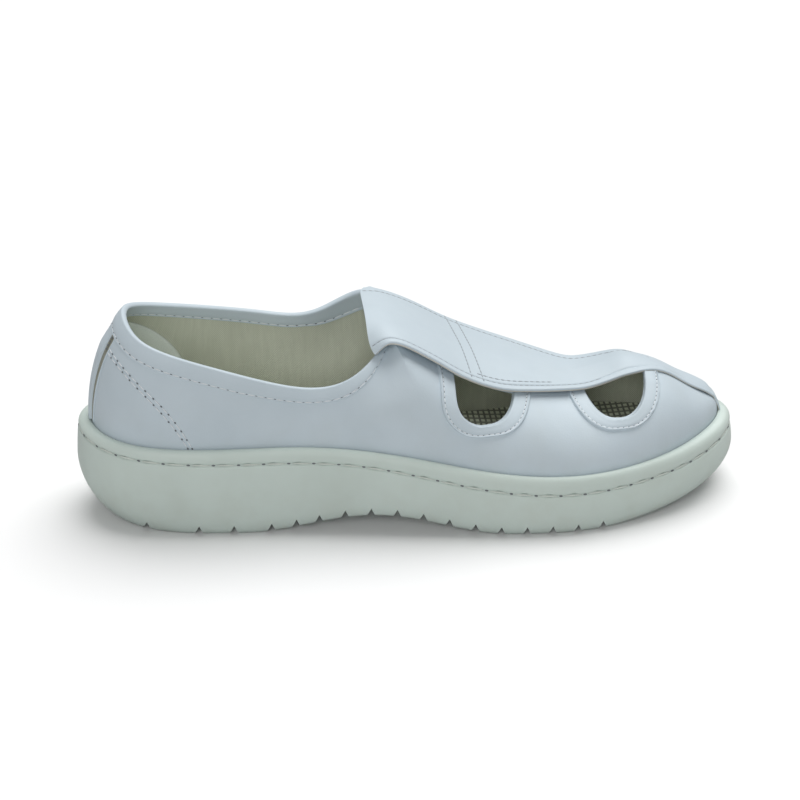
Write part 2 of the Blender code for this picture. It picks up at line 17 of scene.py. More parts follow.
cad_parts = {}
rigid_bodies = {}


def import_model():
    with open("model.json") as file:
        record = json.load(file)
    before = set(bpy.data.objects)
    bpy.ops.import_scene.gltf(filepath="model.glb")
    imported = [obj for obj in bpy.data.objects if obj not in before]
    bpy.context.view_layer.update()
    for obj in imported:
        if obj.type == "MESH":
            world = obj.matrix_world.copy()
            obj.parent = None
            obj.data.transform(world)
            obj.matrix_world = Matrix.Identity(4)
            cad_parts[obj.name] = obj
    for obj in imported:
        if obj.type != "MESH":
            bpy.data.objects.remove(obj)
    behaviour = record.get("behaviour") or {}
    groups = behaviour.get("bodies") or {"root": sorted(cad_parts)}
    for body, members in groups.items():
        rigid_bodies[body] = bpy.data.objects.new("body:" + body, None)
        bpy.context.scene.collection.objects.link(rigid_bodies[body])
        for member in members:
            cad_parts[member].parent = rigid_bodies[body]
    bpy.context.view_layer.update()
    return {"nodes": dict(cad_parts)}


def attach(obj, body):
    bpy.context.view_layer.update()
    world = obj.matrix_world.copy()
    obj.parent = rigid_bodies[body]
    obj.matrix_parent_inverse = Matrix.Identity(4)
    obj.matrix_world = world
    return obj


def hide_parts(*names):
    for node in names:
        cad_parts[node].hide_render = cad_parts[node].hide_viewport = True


for startup in list(bpy.data.objects):
    bpy.data.objects.remove(startup, do_unlink=True)

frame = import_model()
print("solid pieces:", ", ".join(sorted(frame["nodes"])))

# %% [markdown]
# ## The last
# A shoe is shaped on a last, so every piece here follows one set of curves. They repeat the sizes of the
# solid model, in metres, with the heel's back at x = 0. A smooth spline through a few sections is easier to
# steer than a sculpted mesh, and any number of points can be read from it. A place round the shoe is
# counted in sections from the centre back, the lateral side first.

# %% Sizes
LENGTH, BALL_WIDTH, INSTEP_HEIGHT = 0.2865, 0.102, 0.080
HEEL_RIM, HEEL_FLOOR, BALL_FLOOR = 0.040, 0.0295, 0.0158
WALL, STRAP_THICKNESS, INSOLE_THICKNESS = 0.0018, 0.0016, 0.0028
GAP = 0.0003
TOE_SPRING, HEEL_LIFT, ARCH_RISE = 0.006, 0.0035, 0.0078
# shares of the length where spring, lift, arch and the bed's fall begin or end
SPRING_START, LIFT_END, ARCH_START, ARCH_SPAN, FALL_START, FALL_SPAN = 0.73, 0.156, 0.25, 0.39, 0.20, 0.48
CUP_INSET, WIDEST_SHARE = 0.0046, 0.52
UPPER_INSET = CUP_INSET + GAP
FULL_SIZE = np.array((LENGTH, BALL_WIDTH, INSTEP_HEIGHT))

# outline of the lateral and the medial side, the rim's height, and how tread and rim draw in
SECTIONS = np.array((
    (0.000, 0.000, 0.000, 0.000, 1.045, 0.0085, 0.0016),
    (0.031, -0.216, 0.028, 0.216, 1.030, 0.0060, 0.0012),
    (0.105, -0.338, 0.102, 0.333, 1.010, 0.0025, 0.0004),
    (0.202, -0.371, 0.199, 0.358, 1.000, 0.0000, 0.0000),
    (0.297, -0.380, 0.294, 0.328, 1.008, 0.0000, 0.0000),
    (0.377, -0.395, 0.374, 0.307, 0.990, 0.0000, 0.0000),
    (0.446, -0.420, 0.443, 0.319, 0.940, 0.0000, 0.0000),
    (0.520, -0.451, 0.520, 0.368, 0.855, 0.0000, 0.0000),
    (0.600, -0.483, 0.604, 0.436, 0.750, 0.0000, 0.0000),
    (0.688, -0.500, 0.692, 0.490, 0.680, 0.0000, 0.0000),
    (0.775, -0.474, 0.778, 0.500, 0.665, 0.0000, 0.0000),
    (0.862, -0.387, 0.866, 0.451, 0.690, 0.0015, 0.0006),
    (0.946, -0.235, 0.949, 0.328, 0.750, 0.0045, 0.0020),
    (1.000, 0.039, 1.000, 0.039, 0.805, 0.0065, 0.0018),
))
# collar's edge on the lateral and the medial side, from the heel to the throat
COLLAR = np.array((
    (0.074, 0.000, 1.126, 0.074, 0.000, 1.126),
    (0.090, -0.178, 1.076, 0.093, 0.157, 1.089),
    (0.140, -0.282, 1.017, 0.140, 0.240, 1.034),
    (0.209, -0.317, 0.945, 0.202, 0.277, 0.990),
    (0.282, -0.320, 0.862, 0.286, 0.284, 0.944),
    (0.361, -0.307, 0.810, 0.366, 0.271, 0.944),
    (0.429, -0.275, 0.906, 0.441, 0.270, 1.054),
    (0.474, 0.000, 1.030, 0.474, 0.000, 1.030),
))
# crest of the vamp, from the throat to the toe
CREST = np.array((
    (0.474, 0.000, 1.030),
    (0.586, 0.005, 0.824),
    (0.678, 0.010, 0.700),
    (0.758, 0.015, 0.645),
    (0.841, 0.025, 0.712),
    (0.904, 0.034, 0.627),
    (0.955, 0.040, 0.518),
))
# lean of the wall's top in degrees, and the curve's handles at foot and top
WALLS = np.array((
    (38, 0.34, 0.34), (30, 0.36, 0.34), (20, 0.38, 0.34), (14, 0.36, 0.34), (12, 0.36, 0.34),
    (16, 0.38, 0.34), (38, 0.42, 0.36), (88, 0.60, 0.50), (90, 0.40, 0.48), (90, 0.34, 0.50),
    (90, 0.30, 0.50), (88, 0.36, 0.48), (74, 0.42, 0.44), (50, 0.55, 0.40),
))
# the medial side is fuller under the strap's rear end, and less full in front of the ball
MEDIAL_WALLS = WALLS.copy()
MEDIAL_WALLS[7] = 90, 0.64, 0.52
MEDIAL_WALLS[10:13, 0] = 86, 76, 62
MEDIAL_WALLS[10:13, 2] = 0.42, 0.38, 0.38
# height of the sole's bead, the same on both sides
BEADS = np.array((3.2, 4.2, 5.3, 6.1, 6.4, 6.3, 6.5, 7.2, 7.6, 7.8, 7.5, 7.0, 6.3, 4.8))[:, None] / 1000
LAST, THROAT = len(SECTIONS) - 1, len(COLLAR) - 1
STEP = 1e-3               # for slopes by difference
RAYS_FROM = 0.2           # clear of the shoe


# %% Splines
class Spline:
    """Smooth curve through rows of values, closed into a loop or with free ends."""

    def __init__(self, values, closed):
        self.values = np.array(values, float)
        self.closed = closed
        count = len(self.values)
        system = np.eye(count)
        right = np.zeros_like(self.values)
        for i in range(count) if closed else range(1, count - 1):
            before, after = (i - 1) % count, (i + 1) % count
            system[i, [before, i, after]] = 1, 4, 1
            right[i] = 6 * (self.values[before] - 2 * self.values[i] + self.values[after])
        self.bends = np.linalg.solve(system, right)

    def __call__(self, at):
        at = np.asarray(at, float)
        count = len(self.values)
        first = np.floor(at).astype(int)
        if not self.closed:
            first = np.clip(first, 0, count - 2)
        share = (at - first)[..., None]
        rest = 1 - share
        i, j = first % count, (first + 1) % count
        bend = (rest**3 - rest) * self.bends[i] + (share**3 - share) * self.bends[j]
        return rest * self.values[i] + share * self.values[j] + bend / 6


def loop_spline(lateral, medial):
    return Spline(np.concatenate((lateral, medial[-2:0:-1])), closed=True)


OUTLINE = loop_spline(SECTIONS[:, :2] * FULL_SIZE[:2], SECTIONS[:, 2:4] * FULL_SIZE[:2])
SOLE_SHAPE = loop_spline(SECTIONS[:, 4:] * (HEEL_RIM, 1, 1), SECTIONS[:, 4:] * (HEEL_RIM, 1, 1))
BEAD_HEIGHT = loop_spline(BEADS, BEADS)
WALL_SHAPE = loop_spline(WALLS, MEDIAL_WALLS)
COLLAR_EDGE = loop_spline(COLLAR[:, :3] * FULL_SIZE, COLLAR[:, 3:] * FULL_SIZE)
CREST_LINE = Spline(CREST * FULL_SIZE, closed=False)
print("curves of the last:", LAST + 1, "sections")


# %% Points of the last
def unit(vectors):
    return vectors / np.linalg.norm(vectors, axis=-1, keepdims=True)


def places_round(columns):
    """Places round the whole shoe, with a number of columns between two sections."""
    return np.arange(2 * LAST * columns) / columns


def lengths_along(points):
    """Distance along a line at each of its points."""
    return np.concatenate(((0,), np.cumsum(np.linalg.norm(np.diff(points, axis=0), axis=1))))


def outward(place):
    """Level direction out of the shoe, square to its outline."""
    along = OUTLINE(place + STEP) - OUTLINE(place - STEP)
    return unit(np.stack((along[..., 1], -along[..., 0], 0 * along[..., 0]), -1))


def outline_point(place, inset, height):
    x, y = np.moveaxis(OUTLINE(place), -1, 0)
    level = np.stack(np.broadcast_arrays(x, y, height), -1)
    return level - np.asarray(inset)[..., None] * outward(place)


def toe_spring(at):
    return TOE_SPRING * np.maximum(0, (at - SPRING_START) / (1 - SPRING_START)) ** 2


def bottom_height(x):
    at = x / LENGTH
    heel = HEEL_LIFT * np.maximum(0, 1 - at / LIFT_END) ** 2
    arch = ARCH_RISE * np.sin(math.pi * np.clip((at - ARCH_START) / ARCH_SPAN, 0, 1)) ** 2
    return toe_spring(at) + heel + arch


def bed_height(x):
    at = x / LENGTH
    share = np.clip((at - FALL_START) / FALL_SPAN, 0, 1)
    return HEEL_FLOOR + (BALL_FLOOR - HEEL_FLOOR) * share * share * (3 - 2 * share) + toe_spring(at)


def cup_point(place, inset, height):
    return outline_point(place, inset + SOLE_SHAPE(place)[..., 2], height)


def bed_point(place, inset, lift):
    point = cup_point(place, inset, 0.0)
    point[..., 2] = bed_height(point[..., 0]) + lift
    return point


def top_edge(place):
    """Top of the wall: the collar as far as the throat, then the crest of the vamp."""
    signed = (np.asarray(place, float) + LAST) % (2 * LAST) - LAST
    along = np.abs(signed)
    return np.where((along <= THROAT)[..., None], COLLAR_EDGE(signed), CREST_LINE(along - THROAT))


def wall_point(place, share):
    """Outer face of the upper, from the sole's rim at 0 to the top edge at 1."""
    place, share = np.broadcast_arrays(np.asarray(place, float), np.asarray(share, float))
    turn, rise, crown = np.moveaxis(WALL_SHAPE(place), -1, 0)[..., None]
    foot = cup_point(place, UPPER_INSET, SOLE_SHAPE(place)[..., 0])
    top = top_edge(place)
    reach = np.linalg.norm(top - foot, axis=-1, keepdims=True)
    lean = np.radians(np.minimum(turn, 90))
    up = np.array((0.0, 0.0, 1.0))
    low = foot + rise * reach * up
    high = top + crown * reach * (np.sin(lean) * outward(place) - np.cos(lean) * up)
    share = share[..., None]
    rest = 1 - share
    return rest**3 * foot + 3 * rest**2 * share * low + 3 * rest * share**2 * high + share**3 * top


def wall_normal(place, share):
    share = np.minimum(share, 1 - 5 * STEP)
    along = wall_point(place + STEP, share) - wall_point(place - STEP, share)
    rising = wall_point(place, share + STEP) - wall_point(place, share - STEP)
    return unit(np.cross(along, rising))


def on_wall(place, share, out):
    """Point at a distance out from the upper's outer face."""
    return wall_point(place, share) + np.asarray(out)[..., None] * wall_normal(place, share)


def share_below(place, distance):
    """Share of the wall at a distance below its top edge."""
    pace = np.linalg.norm(wall_point(place, 1.0) - wall_point(place, 1.0 - STEP), axis=-1) / STEP
    return 1 - distance / pace


print("collar's lowest edge stands", round(float(top_edge(5.0)[2]) * 1000, 1), "mm high")


# %% [markdown]
# ## From points to pieces
# Each piece is a grid of points, bent into a shell or a loft, so a few short helpers make every mesh. A
# loft joins closed loops, a shell joins columns that run round the shoe. The points are moved from the heel
# to the middle of the shoe when the mesh is made, because the solid model has its origin there.

# %% Mesh helpers
MIDDLE = np.array((-LENGTH / 2, 0.0, 0.0))
SMOOTH_ANGLE = math.radians(42)


def as_object(name, mesh):
    obj = bpy.data.objects.new(name, mesh)
    bpy.context.scene.collection.objects.link(obj)
    return obj


def mesh_of(name, points, faces, finishes):
    """Object with a mesh and its finishes."""
    mesh = bpy.data.meshes.new(name)
    mesh.from_pydata((points.reshape(-1, 3) + MIDDLE).tolist(), [], faces)
    for finish in finishes:
        mesh.materials.append(finish)
    return as_object(name, mesh)


def tidy(obj, merge=1e-6):
    """Merges doubles, turns the faces outwards and smooths all but sharp edges."""
    bm = bmesh.new()
    bm.from_mesh(obj.data)
    bmesh.ops.remove_doubles(bm, verts=bm.verts, dist=merge)
    bmesh.ops.recalc_face_normals(bm, faces=bm.faces)
    bm.to_mesh(obj.data)
    bm.free()
    obj.data.shade_smooth()
    obj.data.set_sharp_from_angle(angle=SMOOTH_ANGLE)
    return obj


def plain(obj):
    """Replaces an object's modifiers by the mesh that they make."""
    bpy.context.view_layer.update()
    graph = bpy.context.evaluated_depsgraph_get()
    made = obj.evaluated_get(graph)
    mesh = bpy.data.meshes.new_from_object(made, preserve_all_data_layers=True, depsgraph=graph)
    obj.modifiers.clear()
    obj.data = mesh


def loft(name, loops, finishes, closed=False, edge_finish=()):
    """Solid through closed loops of points, with its ends capped unless the row of loops is closed."""
    rows, count, _ = loops.shape
    faces, numbers = [], []
    for i in range(rows if closed else rows - 1):
        for j in range(count):
            k, after = (j + 1) % count, (i + 1) % rows
            faces.append((i * count + j, after * count + j, after * count + k, i * count + k))
            numbers.append(1 if j in edge_finish else 0)
    if not closed:
        faces += [tuple(range(count)), tuple(range((rows - 1) * count, rows * count))]
        numbers += [0, 0]
    obj = mesh_of(name, loops, faces, finishes)
    obj.data.polygons.foreach_set("material_index", numbers)
    return tidy(obj)


def shell_faces(count, rows):
    """Faces between columns of points that run round the shoe."""
    faces = []
    for i in range(count):
        here, after = i * rows, (i + 1) % count * rows
        faces += [(here + j, after + j, after + j + 1, here + j + 1) for j in range(rows - 1)]
    return faces


def capped_shell(name, columns, finishes):
    """Solid from columns of points round the shoe, closed across its width below and above."""
    count, rows, _ = columns.shape
    faces = shell_faces(count, rows)
    half = count // 2
    for end in (0, rows - 1):
        for i in range(half):
            near, far = (count - i) % count, count - i - 1
            corners = dict.fromkeys(column * rows + end for column in (i, i + 1, far, near))
            faces.append(tuple(corners))
    return tidy(mesh_of(name, columns, faces, finishes))


def prisms(name, shapes):
    """Solids that run across the shoe, each from an outline of x and z and the two ends of its width."""
    bm = bmesh.new()
    for outline, near, far in shapes:
        face = bm.faces.new([bm.verts.new((x + MIDDLE[0], near, z)) for x, z in outline])
        sweep = bmesh.ops.extrude_face_region(bm, geom=[face])
        moved = [item for item in sweep["geom"] if isinstance(item, bmesh.types.BMVert)]
        bmesh.ops.translate(bm, verts=moved, vec=Vector((0, far - near, 0)))
    bmesh.ops.recalc_face_normals(bm, faces=bm.faces)
    mesh = bpy.data.meshes.new(name)
    bm.to_mesh(mesh)
    bm.free()
    return as_object(name, mesh)


def carve(obj, cutter):
    """Cuts a solid out of an object and removes the cutter."""
    boolean = obj.modifiers.new("cut", "BOOLEAN")
    boolean.operation = "DIFFERENCE"
    boolean.solver = "EXACT"
    boolean.object = cutter
    plain(obj)
    bpy.data.objects.remove(cutter, do_unlink=True)


def dress(obj, slot, *nodes):
    """Makes a finished piece stand for its solids and ride on the shoe."""
    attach(obj, "root")
    if nodes:
        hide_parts(*nodes)
    obj.data.calc_loop_triangles()
    print(obj.name, "has", len(obj.data.loop_triangles), "triangles")


# %% [markdown]
# ## Effects that several finishes share
# Grain, and dust with painted shade near the floor, turn up on several finishes, so each is a shader node
# group with its own inputs, and the weave of the lining, with painted shade in its hollows, is one too. They
# read Object coordinates, or the piece's own map of the cloth, so a pattern keeps its size and stays on the
# piece.

# %% Shader helpers
def new_group(name, inputs, outputs):
    tree = bpy.data.node_groups.new(name, "ShaderNodeTree")
    for label, value in inputs.items():
        tree.interface.new_socket(label, in_out="INPUT", socket_type="NodeSocketFloat").default_value = value
    for label in outputs:
        tree.interface.new_socket(label, in_out="OUTPUT", socket_type="NodeSocketFloat")
    return tree, tree.nodes.new("NodeGroupInput"), tree.nodes.new("NodeGroupOutput")


def node(tree, kind, links=None, **settings):
    """New node with its settings, its inputs linked from sockets or set to values."""
    made = tree.nodes.new(kind)
    for label, value in settings.items():
        setattr(made, label, value)
    for label, value in (links or {}).items():
        if isinstance(value, bpy.types.NodeSocket):
            tree.links.new(value, made.inputs[label])
        else:
            made.inputs[label].default_value = value
    return made


def math_node(tree, operation, first, second=0.0):
    return node(tree, "ShaderNodeMath", {0: first, 1: second}, operation=operation).outputs[0]


def ramp(tree, value, low, high, to_low=0.0, to_high=1.0):
    links = {"Value": value, "From Min": low, "From Max": high, "To Min": to_low, "To Max": to_high}
    return node(tree, "ShaderNodeMapRange", links).outputs["Result"]


def noise(tree, vector, scale, detail, roughness=0.5):
    links = {"Vector": vector, "Scale": scale, "Detail": detail, "Roughness": roughness}
    return node(tree, "ShaderNodeTexNoise", links).outputs["Fac"]


def sine(tree, value, pace):
    return math_node(tree, "SINE", math_node(tree, "MULTIPLY", value, pace))


# %% Grain, weave with painted shade in its hollows, and dust with painted shade near the floor
scales = {"Grain Scale": 1500.0, "Patch Scale": 40.0}
grain_group, given, put = new_group("fine_grain", scales, ("Grain", "Patch"))
place = node(grain_group, "ShaderNodeTexCoord").outputs["Object"]
cells = node(grain_group, "ShaderNodeTexVoronoi", {"Vector": place, "Scale": given.outputs["Grain Scale"]})
speck = noise(grain_group, place, given.outputs["Grain Scale"], 3.0)
blotch = noise(grain_group, place, given.outputs["Patch Scale"], 4.0)
pebble = math_node(grain_group, "MULTIPLY", cells.outputs["Distance"], 0.7)
grain_group.links.new(math_node(grain_group, "ADD", pebble, speck), put.inputs["Grain"])
grain_group.links.new(blotch, put.inputs["Patch"])

weave_group, given, put = new_group("plain_weave", {"Threads": 1400.0}, ("Height", "Shade"))
cloth = node(weave_group, "ShaderNodeUVMap", uv_map="cloth").outputs["UV"]
split = node(weave_group, "ShaderNodeSeparateXYZ", {0: cloth})
waves = []
for axis in ("X", "Y"):
    turns = math_node(weave_group, "MULTIPLY", split.outputs[axis], given.outputs["Threads"])
    waves.append(sine(weave_group, turns, 2 * math.pi))
crossing_threads = math_node(weave_group, "MULTIPLY", waves[0], waves[1])
height = ramp(weave_group, crossing_threads, -1.0, 1.0)
stretch = {"Vector": cloth, "Scale": (1.0, 0.12, 1.0)}
slub = noise(weave_group, node(weave_group, "ShaderNodeMapping", stretch).outputs["Vector"], 420.0, 5.0, 0.7)
weave_group.links.new(height, put.inputs["Height"])
# the cloth is darker where the weave dips, painted shade in its hollows, and along the slub noise, the
# threads' own uneven tone
weave_group.links.new(math_node(weave_group, "MULTIPLY", height, slub), put.inputs["Shade"])

# darker towards the bottom of a piece, in patches: dust, and painted shade near the floor
dust_and_shade_group, given, put = new_group("dust_and_shade", {"Low": 0.0, "High": 0.03, "Patch Scale": 60.0}, ("Mask",))
place = node(dust_and_shade_group, "ShaderNodeTexCoord").outputs["Object"]
height = node(dust_and_shade_group, "ShaderNodeSeparateXYZ", {0: place}).outputs["Z"]
fade = ramp(dust_and_shade_group, height, given.outputs["Low"], given.outputs["High"], 1.0, 0.0)
patchy = ramp(dust_and_shade_group, noise(dust_and_shade_group, place, given.outputs["Patch Scale"], 6.0), 0.42, 0.75)
dust_and_shade_group.links.new(math_node(dust_and_shade_group, "MULTIPLY", fade, patchy), put.inputs["Mask"])
print("shared effects:", ", ".join(group.name for group in bpy.data.node_groups))

# %% [markdown]
# ## Finishes
# The upper is fabric with a smooth white coat, the sole is moulded foam of a greener white, and the lining
# is an olive canvas. A finish starts from two near tones in patches, which dust and painted shade darken a
# little towards the floor, and takes its fine bumps and its roughness from the same groups, so that light
# breaks on it as on the real thing.


# %% Finish helpers
def finish(name, specular):
    """New material: itself, its node tree and its shader."""
    made = bpy.data.materials.new(name)
    made.use_nodes = True
    shader = made.node_tree.nodes["Principled BSDF"]
    shader.inputs["Specular IOR Level"].default_value = specular
    return made, made.node_tree, shader


def mixed(tree, share, first, second):
    """Colour between two, by a share that changes over the surface."""
    mix = tree.nodes.new("ShaderNodeMix")
    mix.data_type = "RGBA"
    sockets = {socket.identifier: socket for socket in mix.inputs}
    for label, value in (("Factor_Float", share), ("A_Color", first), ("B_Color", second)):
        if isinstance(value, bpy.types.NodeSocket):
            tree.links.new(value, sockets[label])
        else:
            sockets[label].default_value = (*value, 1.0)
    return next(socket for socket in mix.outputs if socket.identifier == "Result_Color")


def use_group(tree, group, *values):
    """Places a shared effect, with its inputs set in their order."""
    made = tree.nodes.new("ShaderNodeGroup")
    made.node_tree = group
    for socket, value in zip(made.inputs, values):
        socket.default_value = value
    return made


def patches(tree, grain, low=0.0, high=1.0):
    return ramp(tree, grain.outputs["Patch"], 0.3, 0.7, low, high)


def covered(tree, shader, colour, roughness, height, distance, strength):
    """Links a finish's colour and roughness, and its fine height as a bump."""
    bump = node(tree, "ShaderNodeBump", {"Height": height, "Distance": distance, "Strength": strength})
    tree.links.new(colour, shader.inputs["Base Color"])
    tree.links.new(roughness, shader.inputs["Roughness"])
    tree.links.new(bump.outputs["Normal"], shader.inputs["Normal"])


# %% Coated white, its cut edge, and the sole
def smooth_white(name, tones, dust_and_shade_colour, roughness, specular, dust_and_shade_strength, grain_scales, dust_and_shade_sizes, bump):
    """Two tones in soft patches, darker towards the bottom with dust and painted shade, and a fine grain."""
    made, tree, shader = finish(name, specular)
    grain = use_group(tree, grain_group, *grain_scales)
    dust_and_shade = use_group(tree, dust_and_shade_group, *dust_and_shade_sizes)
    dust_and_shade_share = math_node(tree, "MULTIPLY", dust_and_shade.outputs["Mask"], dust_and_shade_strength)
    colour = mixed(tree, dust_and_shade_share, mixed(tree, patches(tree, grain), *tones), dust_and_shade_colour)
    covered(tree, shader, colour, patches(tree, grain, *roughness), grain.outputs["Grain"], *bump)
    return made


FABRIC = dict(
    specular=0.36, dust_and_shade_strength=0.22, bump=(0.0001, 0.35),
    grain_scales=(1300.0, 55.0), dust_and_shade_sizes=(0.02, 0.075, 70.0),
)
FOAM = dict(
    specular=0.38, dust_and_shade_strength=0.30, bump=(0.00008, 0.30),
    grain_scales=(2200.0, 38.0), dust_and_shade_sizes=(0.0, 0.045, 90.0),
)
# each finish's third colour is mixed in towards the bottom: dust, and painted shade near the floor
COAT_TONES, COAT_DUST_AND_SHADE = ((0.585, 0.67, 0.725), (0.555, 0.64, 0.695)), (0.465, 0.495, 0.455)
EDGE_TONES, EDGE_DUST_AND_SHADE = ((0.60, 0.59, 0.54), (0.52, 0.51, 0.46)), (0.38, 0.36, 0.30)
SOLE_TONES, SOLE_DUST_AND_SHADE = ((0.62, 0.71, 0.665), (0.585, 0.67, 0.625)), (0.47, 0.50, 0.43)
WHITE_COAT = smooth_white("white_coat", COAT_TONES, COAT_DUST_AND_SHADE, (0.50, 0.62), **FABRIC)
CUT_EDGE = smooth_white("cut_edge", EDGE_TONES, EDGE_DUST_AND_SHADE, (0.7, 0.8), **FABRIC)
MOULDED_SOLE = smooth_white("moulded_sole", SOLE_TONES, SOLE_DUST_AND_SHADE, (0.44, 0.56), **FOAM)

# %% Canvas lining
CANVAS_LIGHT, CANVAS_DARK, CANVAS_THREADS = (0.87, 0.905, 0.765), (0.48, 0.505, 0.41), 1000.0
CANVAS, tree, shader = finish("canvas_lining", 0.2)
weave = use_group(tree, weave_group, CANVAS_THREADS)
grain = use_group(tree, grain_group, 900.0, 45.0)
# darker threads where the weave's height is low: painted shade in its hollows
thread = mixed(tree, weave.outputs["Shade"], CANVAS_DARK, CANVAS_LIGHT)
colour = mixed(tree, ramp(tree, grain.outputs["Patch"], 0.45, 1.0), thread, CANVAS_DARK)
covered(tree, shader, colour, patches(tree, grain, 0.78, 0.92), weave.outputs["Height"], 0.0002, 0.5)

# %% Meshed insole: dark strands both ways over a lighter foam
STRAND_PITCHES, STRAND_SHARE, STRAND_SOFTNESS = {"X": 0.0025, "Y": 0.0042}, 0.40, 0.25
PAD_TONES, STRAND_TONE = ((0.86, 0.89, 0.76), (0.74, 0.77, 0.65)), (0.26, 0.27, 0.22)
MESHED, tree, shader = finish("meshed_insole", 0.25)
split = node(tree, "ShaderNodeSeparateXYZ", {0: node(tree, "ShaderNodeTexCoord").outputs["Object"]})
strands = []
for axis, pitch in STRAND_PITCHES.items():
    wave = math_node(tree, "ABSOLUTE", sine(tree, split.outputs[axis], math.pi / pitch))
    strands.append(ramp(tree, wave, STRAND_SHARE, STRAND_SHARE + STRAND_SOFTNESS, 1.0, 0.0))
over = math_node(tree, "MAXIMUM", *strands)
grain = use_group(tree, grain_group, 1800.0, 60.0)
colour = mixed(tree, over, mixed(tree, grain.outputs["Patch"], *PAD_TONES), STRAND_TONE)
covered(tree, shader, colour, ramp(tree, over, 0.0, 1.0, 0.9, 0.6), over, 0.0005, 0.7)


# %% Brushed grip, thread, painted shade for needle holes and strap stitches, and raw edge with painted gap shade
def fibrous(name, light, dark, specular=0.3, scales=(4200.0, 300.0), roughness=(0.5, 0.7), strength=0.5):
    made, tree, shader = finish(name, specular)
    grain = use_group(tree, grain_group, *scales)
    colour = mixed(tree, ramp(tree, grain.outputs["Grain"], 0.4, 1.1), dark, light)
    covered(tree, shader, colour, patches(tree, grain, *roughness), grain.outputs["Grain"], 0.0002, strength)
    return made


BRUSHED_GRIP = fibrous(
    "brushed_grip", (0.86, 0.92, 0.87), (0.76, 0.82, 0.77), 0.25, (2600.0, 70.0), (0.72, 0.9), 0.4,
)
THREAD = fibrous("white_thread", (0.82, 0.85, 0.87), (0.66, 0.70, 0.73))
SOLE_THREAD = fibrous("sole_thread", (0.72, 0.77, 0.72), (0.60, 0.65, 0.60))
# dark mark at each needle hole: painted shade in the hole
NEEDLE_HOLE_SHADE = fibrous("needle_hole_shade", (0.19, 0.205, 0.22), (0.10, 0.11, 0.12))
# the strap's white stitches, painted grey as their own shade
STRAP_STITCH_SHADE = fibrous("strap_stitch_shade", (0.40, 0.44, 0.47), (0.30, 0.33, 0.36))
# olive raw edge beside the stay, darker than the canvas: painted shade of the slit between stay and quarter
RAW_EDGE_AND_GAP_SHADE = fibrous("raw_edge_and_gap_shade", (0.34, 0.35, 0.29), (0.20, 0.205, 0.165))
print("finishes:", len(bpy.data.materials))

# %% [markdown]
# ## The moulded sole
# The sole is one casting: a rounded side, a stitched groove under a bead, and a cup that the upper stands
# in. Its side is drawn as a few rows of points, and cutting their corners twice turns them into a soft
# moulded profile. The groove is pulled deeper at every stitch, and V-shaped notches are cut through the
# tread with a Boolean.

# %% Sole
SOLE_COLUMNS = 24         # between two sections
STITCH_PITCH = 0.0107     # along the groove
DIMPLE_DEPTH, DIMPLE_WIDTH = 0.0009, 0.0010
# inset from the widest line, share of the way up to the groove, lift from there, and shares of the bead's
# height and of the rim's draft
SOLE_SIDE = np.array((
    (0.0055, 0.00, 0.0000, 0.00, 0.00),
    (0.0038, 0.01, 0.0000, 0.00, 0.00),
    (0.0022, 0.08, 0.0000, 0.00, 0.00),
    (0.0008, 0.24, 0.0000, 0.00, 0.00),
    (-0.0001, 0.52, 0.0000, 0.00, 0.00),
    (0.0001, 0.80, 0.0000, 0.00, 0.08),
    (0.0004, 1.00, -0.0018, 0.00, 0.12),
    (0.0006, 1.00, -0.0008, 0.00, 0.14),
    (0.0012, 1.00, -0.0003, 0.00, 0.14),
    (0.0012, 1.00, 0.0003, 0.00, 0.14),
    (0.0008, 1.00, 0.0000, 0.14, 0.16),
    (0.0006, 1.00, 0.0000, 0.30, 0.18),
    (0.0008, 1.00, 0.0000, 0.64, 0.24),
    (0.0017, 1.00, 0.0000, 0.93, 0.45),
    (0.0034, 1.00, 0.0000, 1.02, 0.75),
    (0.0046, 1.00, 0.0000, 0.94, 1.00),
))
GROOVE_ROWS = (8, 9)
NOTCHES = [0.099, 0.176, 0.228, 0.284, 0.321] + [0.355 + 0.0384 * i for i in range(12)]
NOTCH_WIDTH, NOTCH_DEPTH = 0.0040, 0.0048


def sole_side(place, inset, share, lift, bead_share, draft):
    rim, tuck, lean = np.moveaxis(SOLE_SHAPE(place), -1, 0)
    bead = BEAD_HEIGHT(place)[..., 0]
    under = tuck * np.maximum(0, 1 - share / WIDEST_SHARE) ** 2
    point = outline_point(place, inset + under + draft * lean, 0.0)
    bottom = bottom_height(point[..., 0])
    point[..., 2] = bottom + share * (rim - bead - bottom) + lift + bead_share * bead
    return point


def corners_cut(points, times):
    """Rows of points with their corners cut, as a soft curve near them."""
    for _ in range(times):
        near = 0.75 * points[:, :-1] + 0.25 * points[:, 1:]
        far = 0.25 * points[:, :-1] + 0.75 * points[:, 1:]
        between = np.stack((near, far), 2).reshape(len(points), -1, 3)
        points = np.concatenate((points[:, :1], between, points[:, -1:]), 1)
    return points


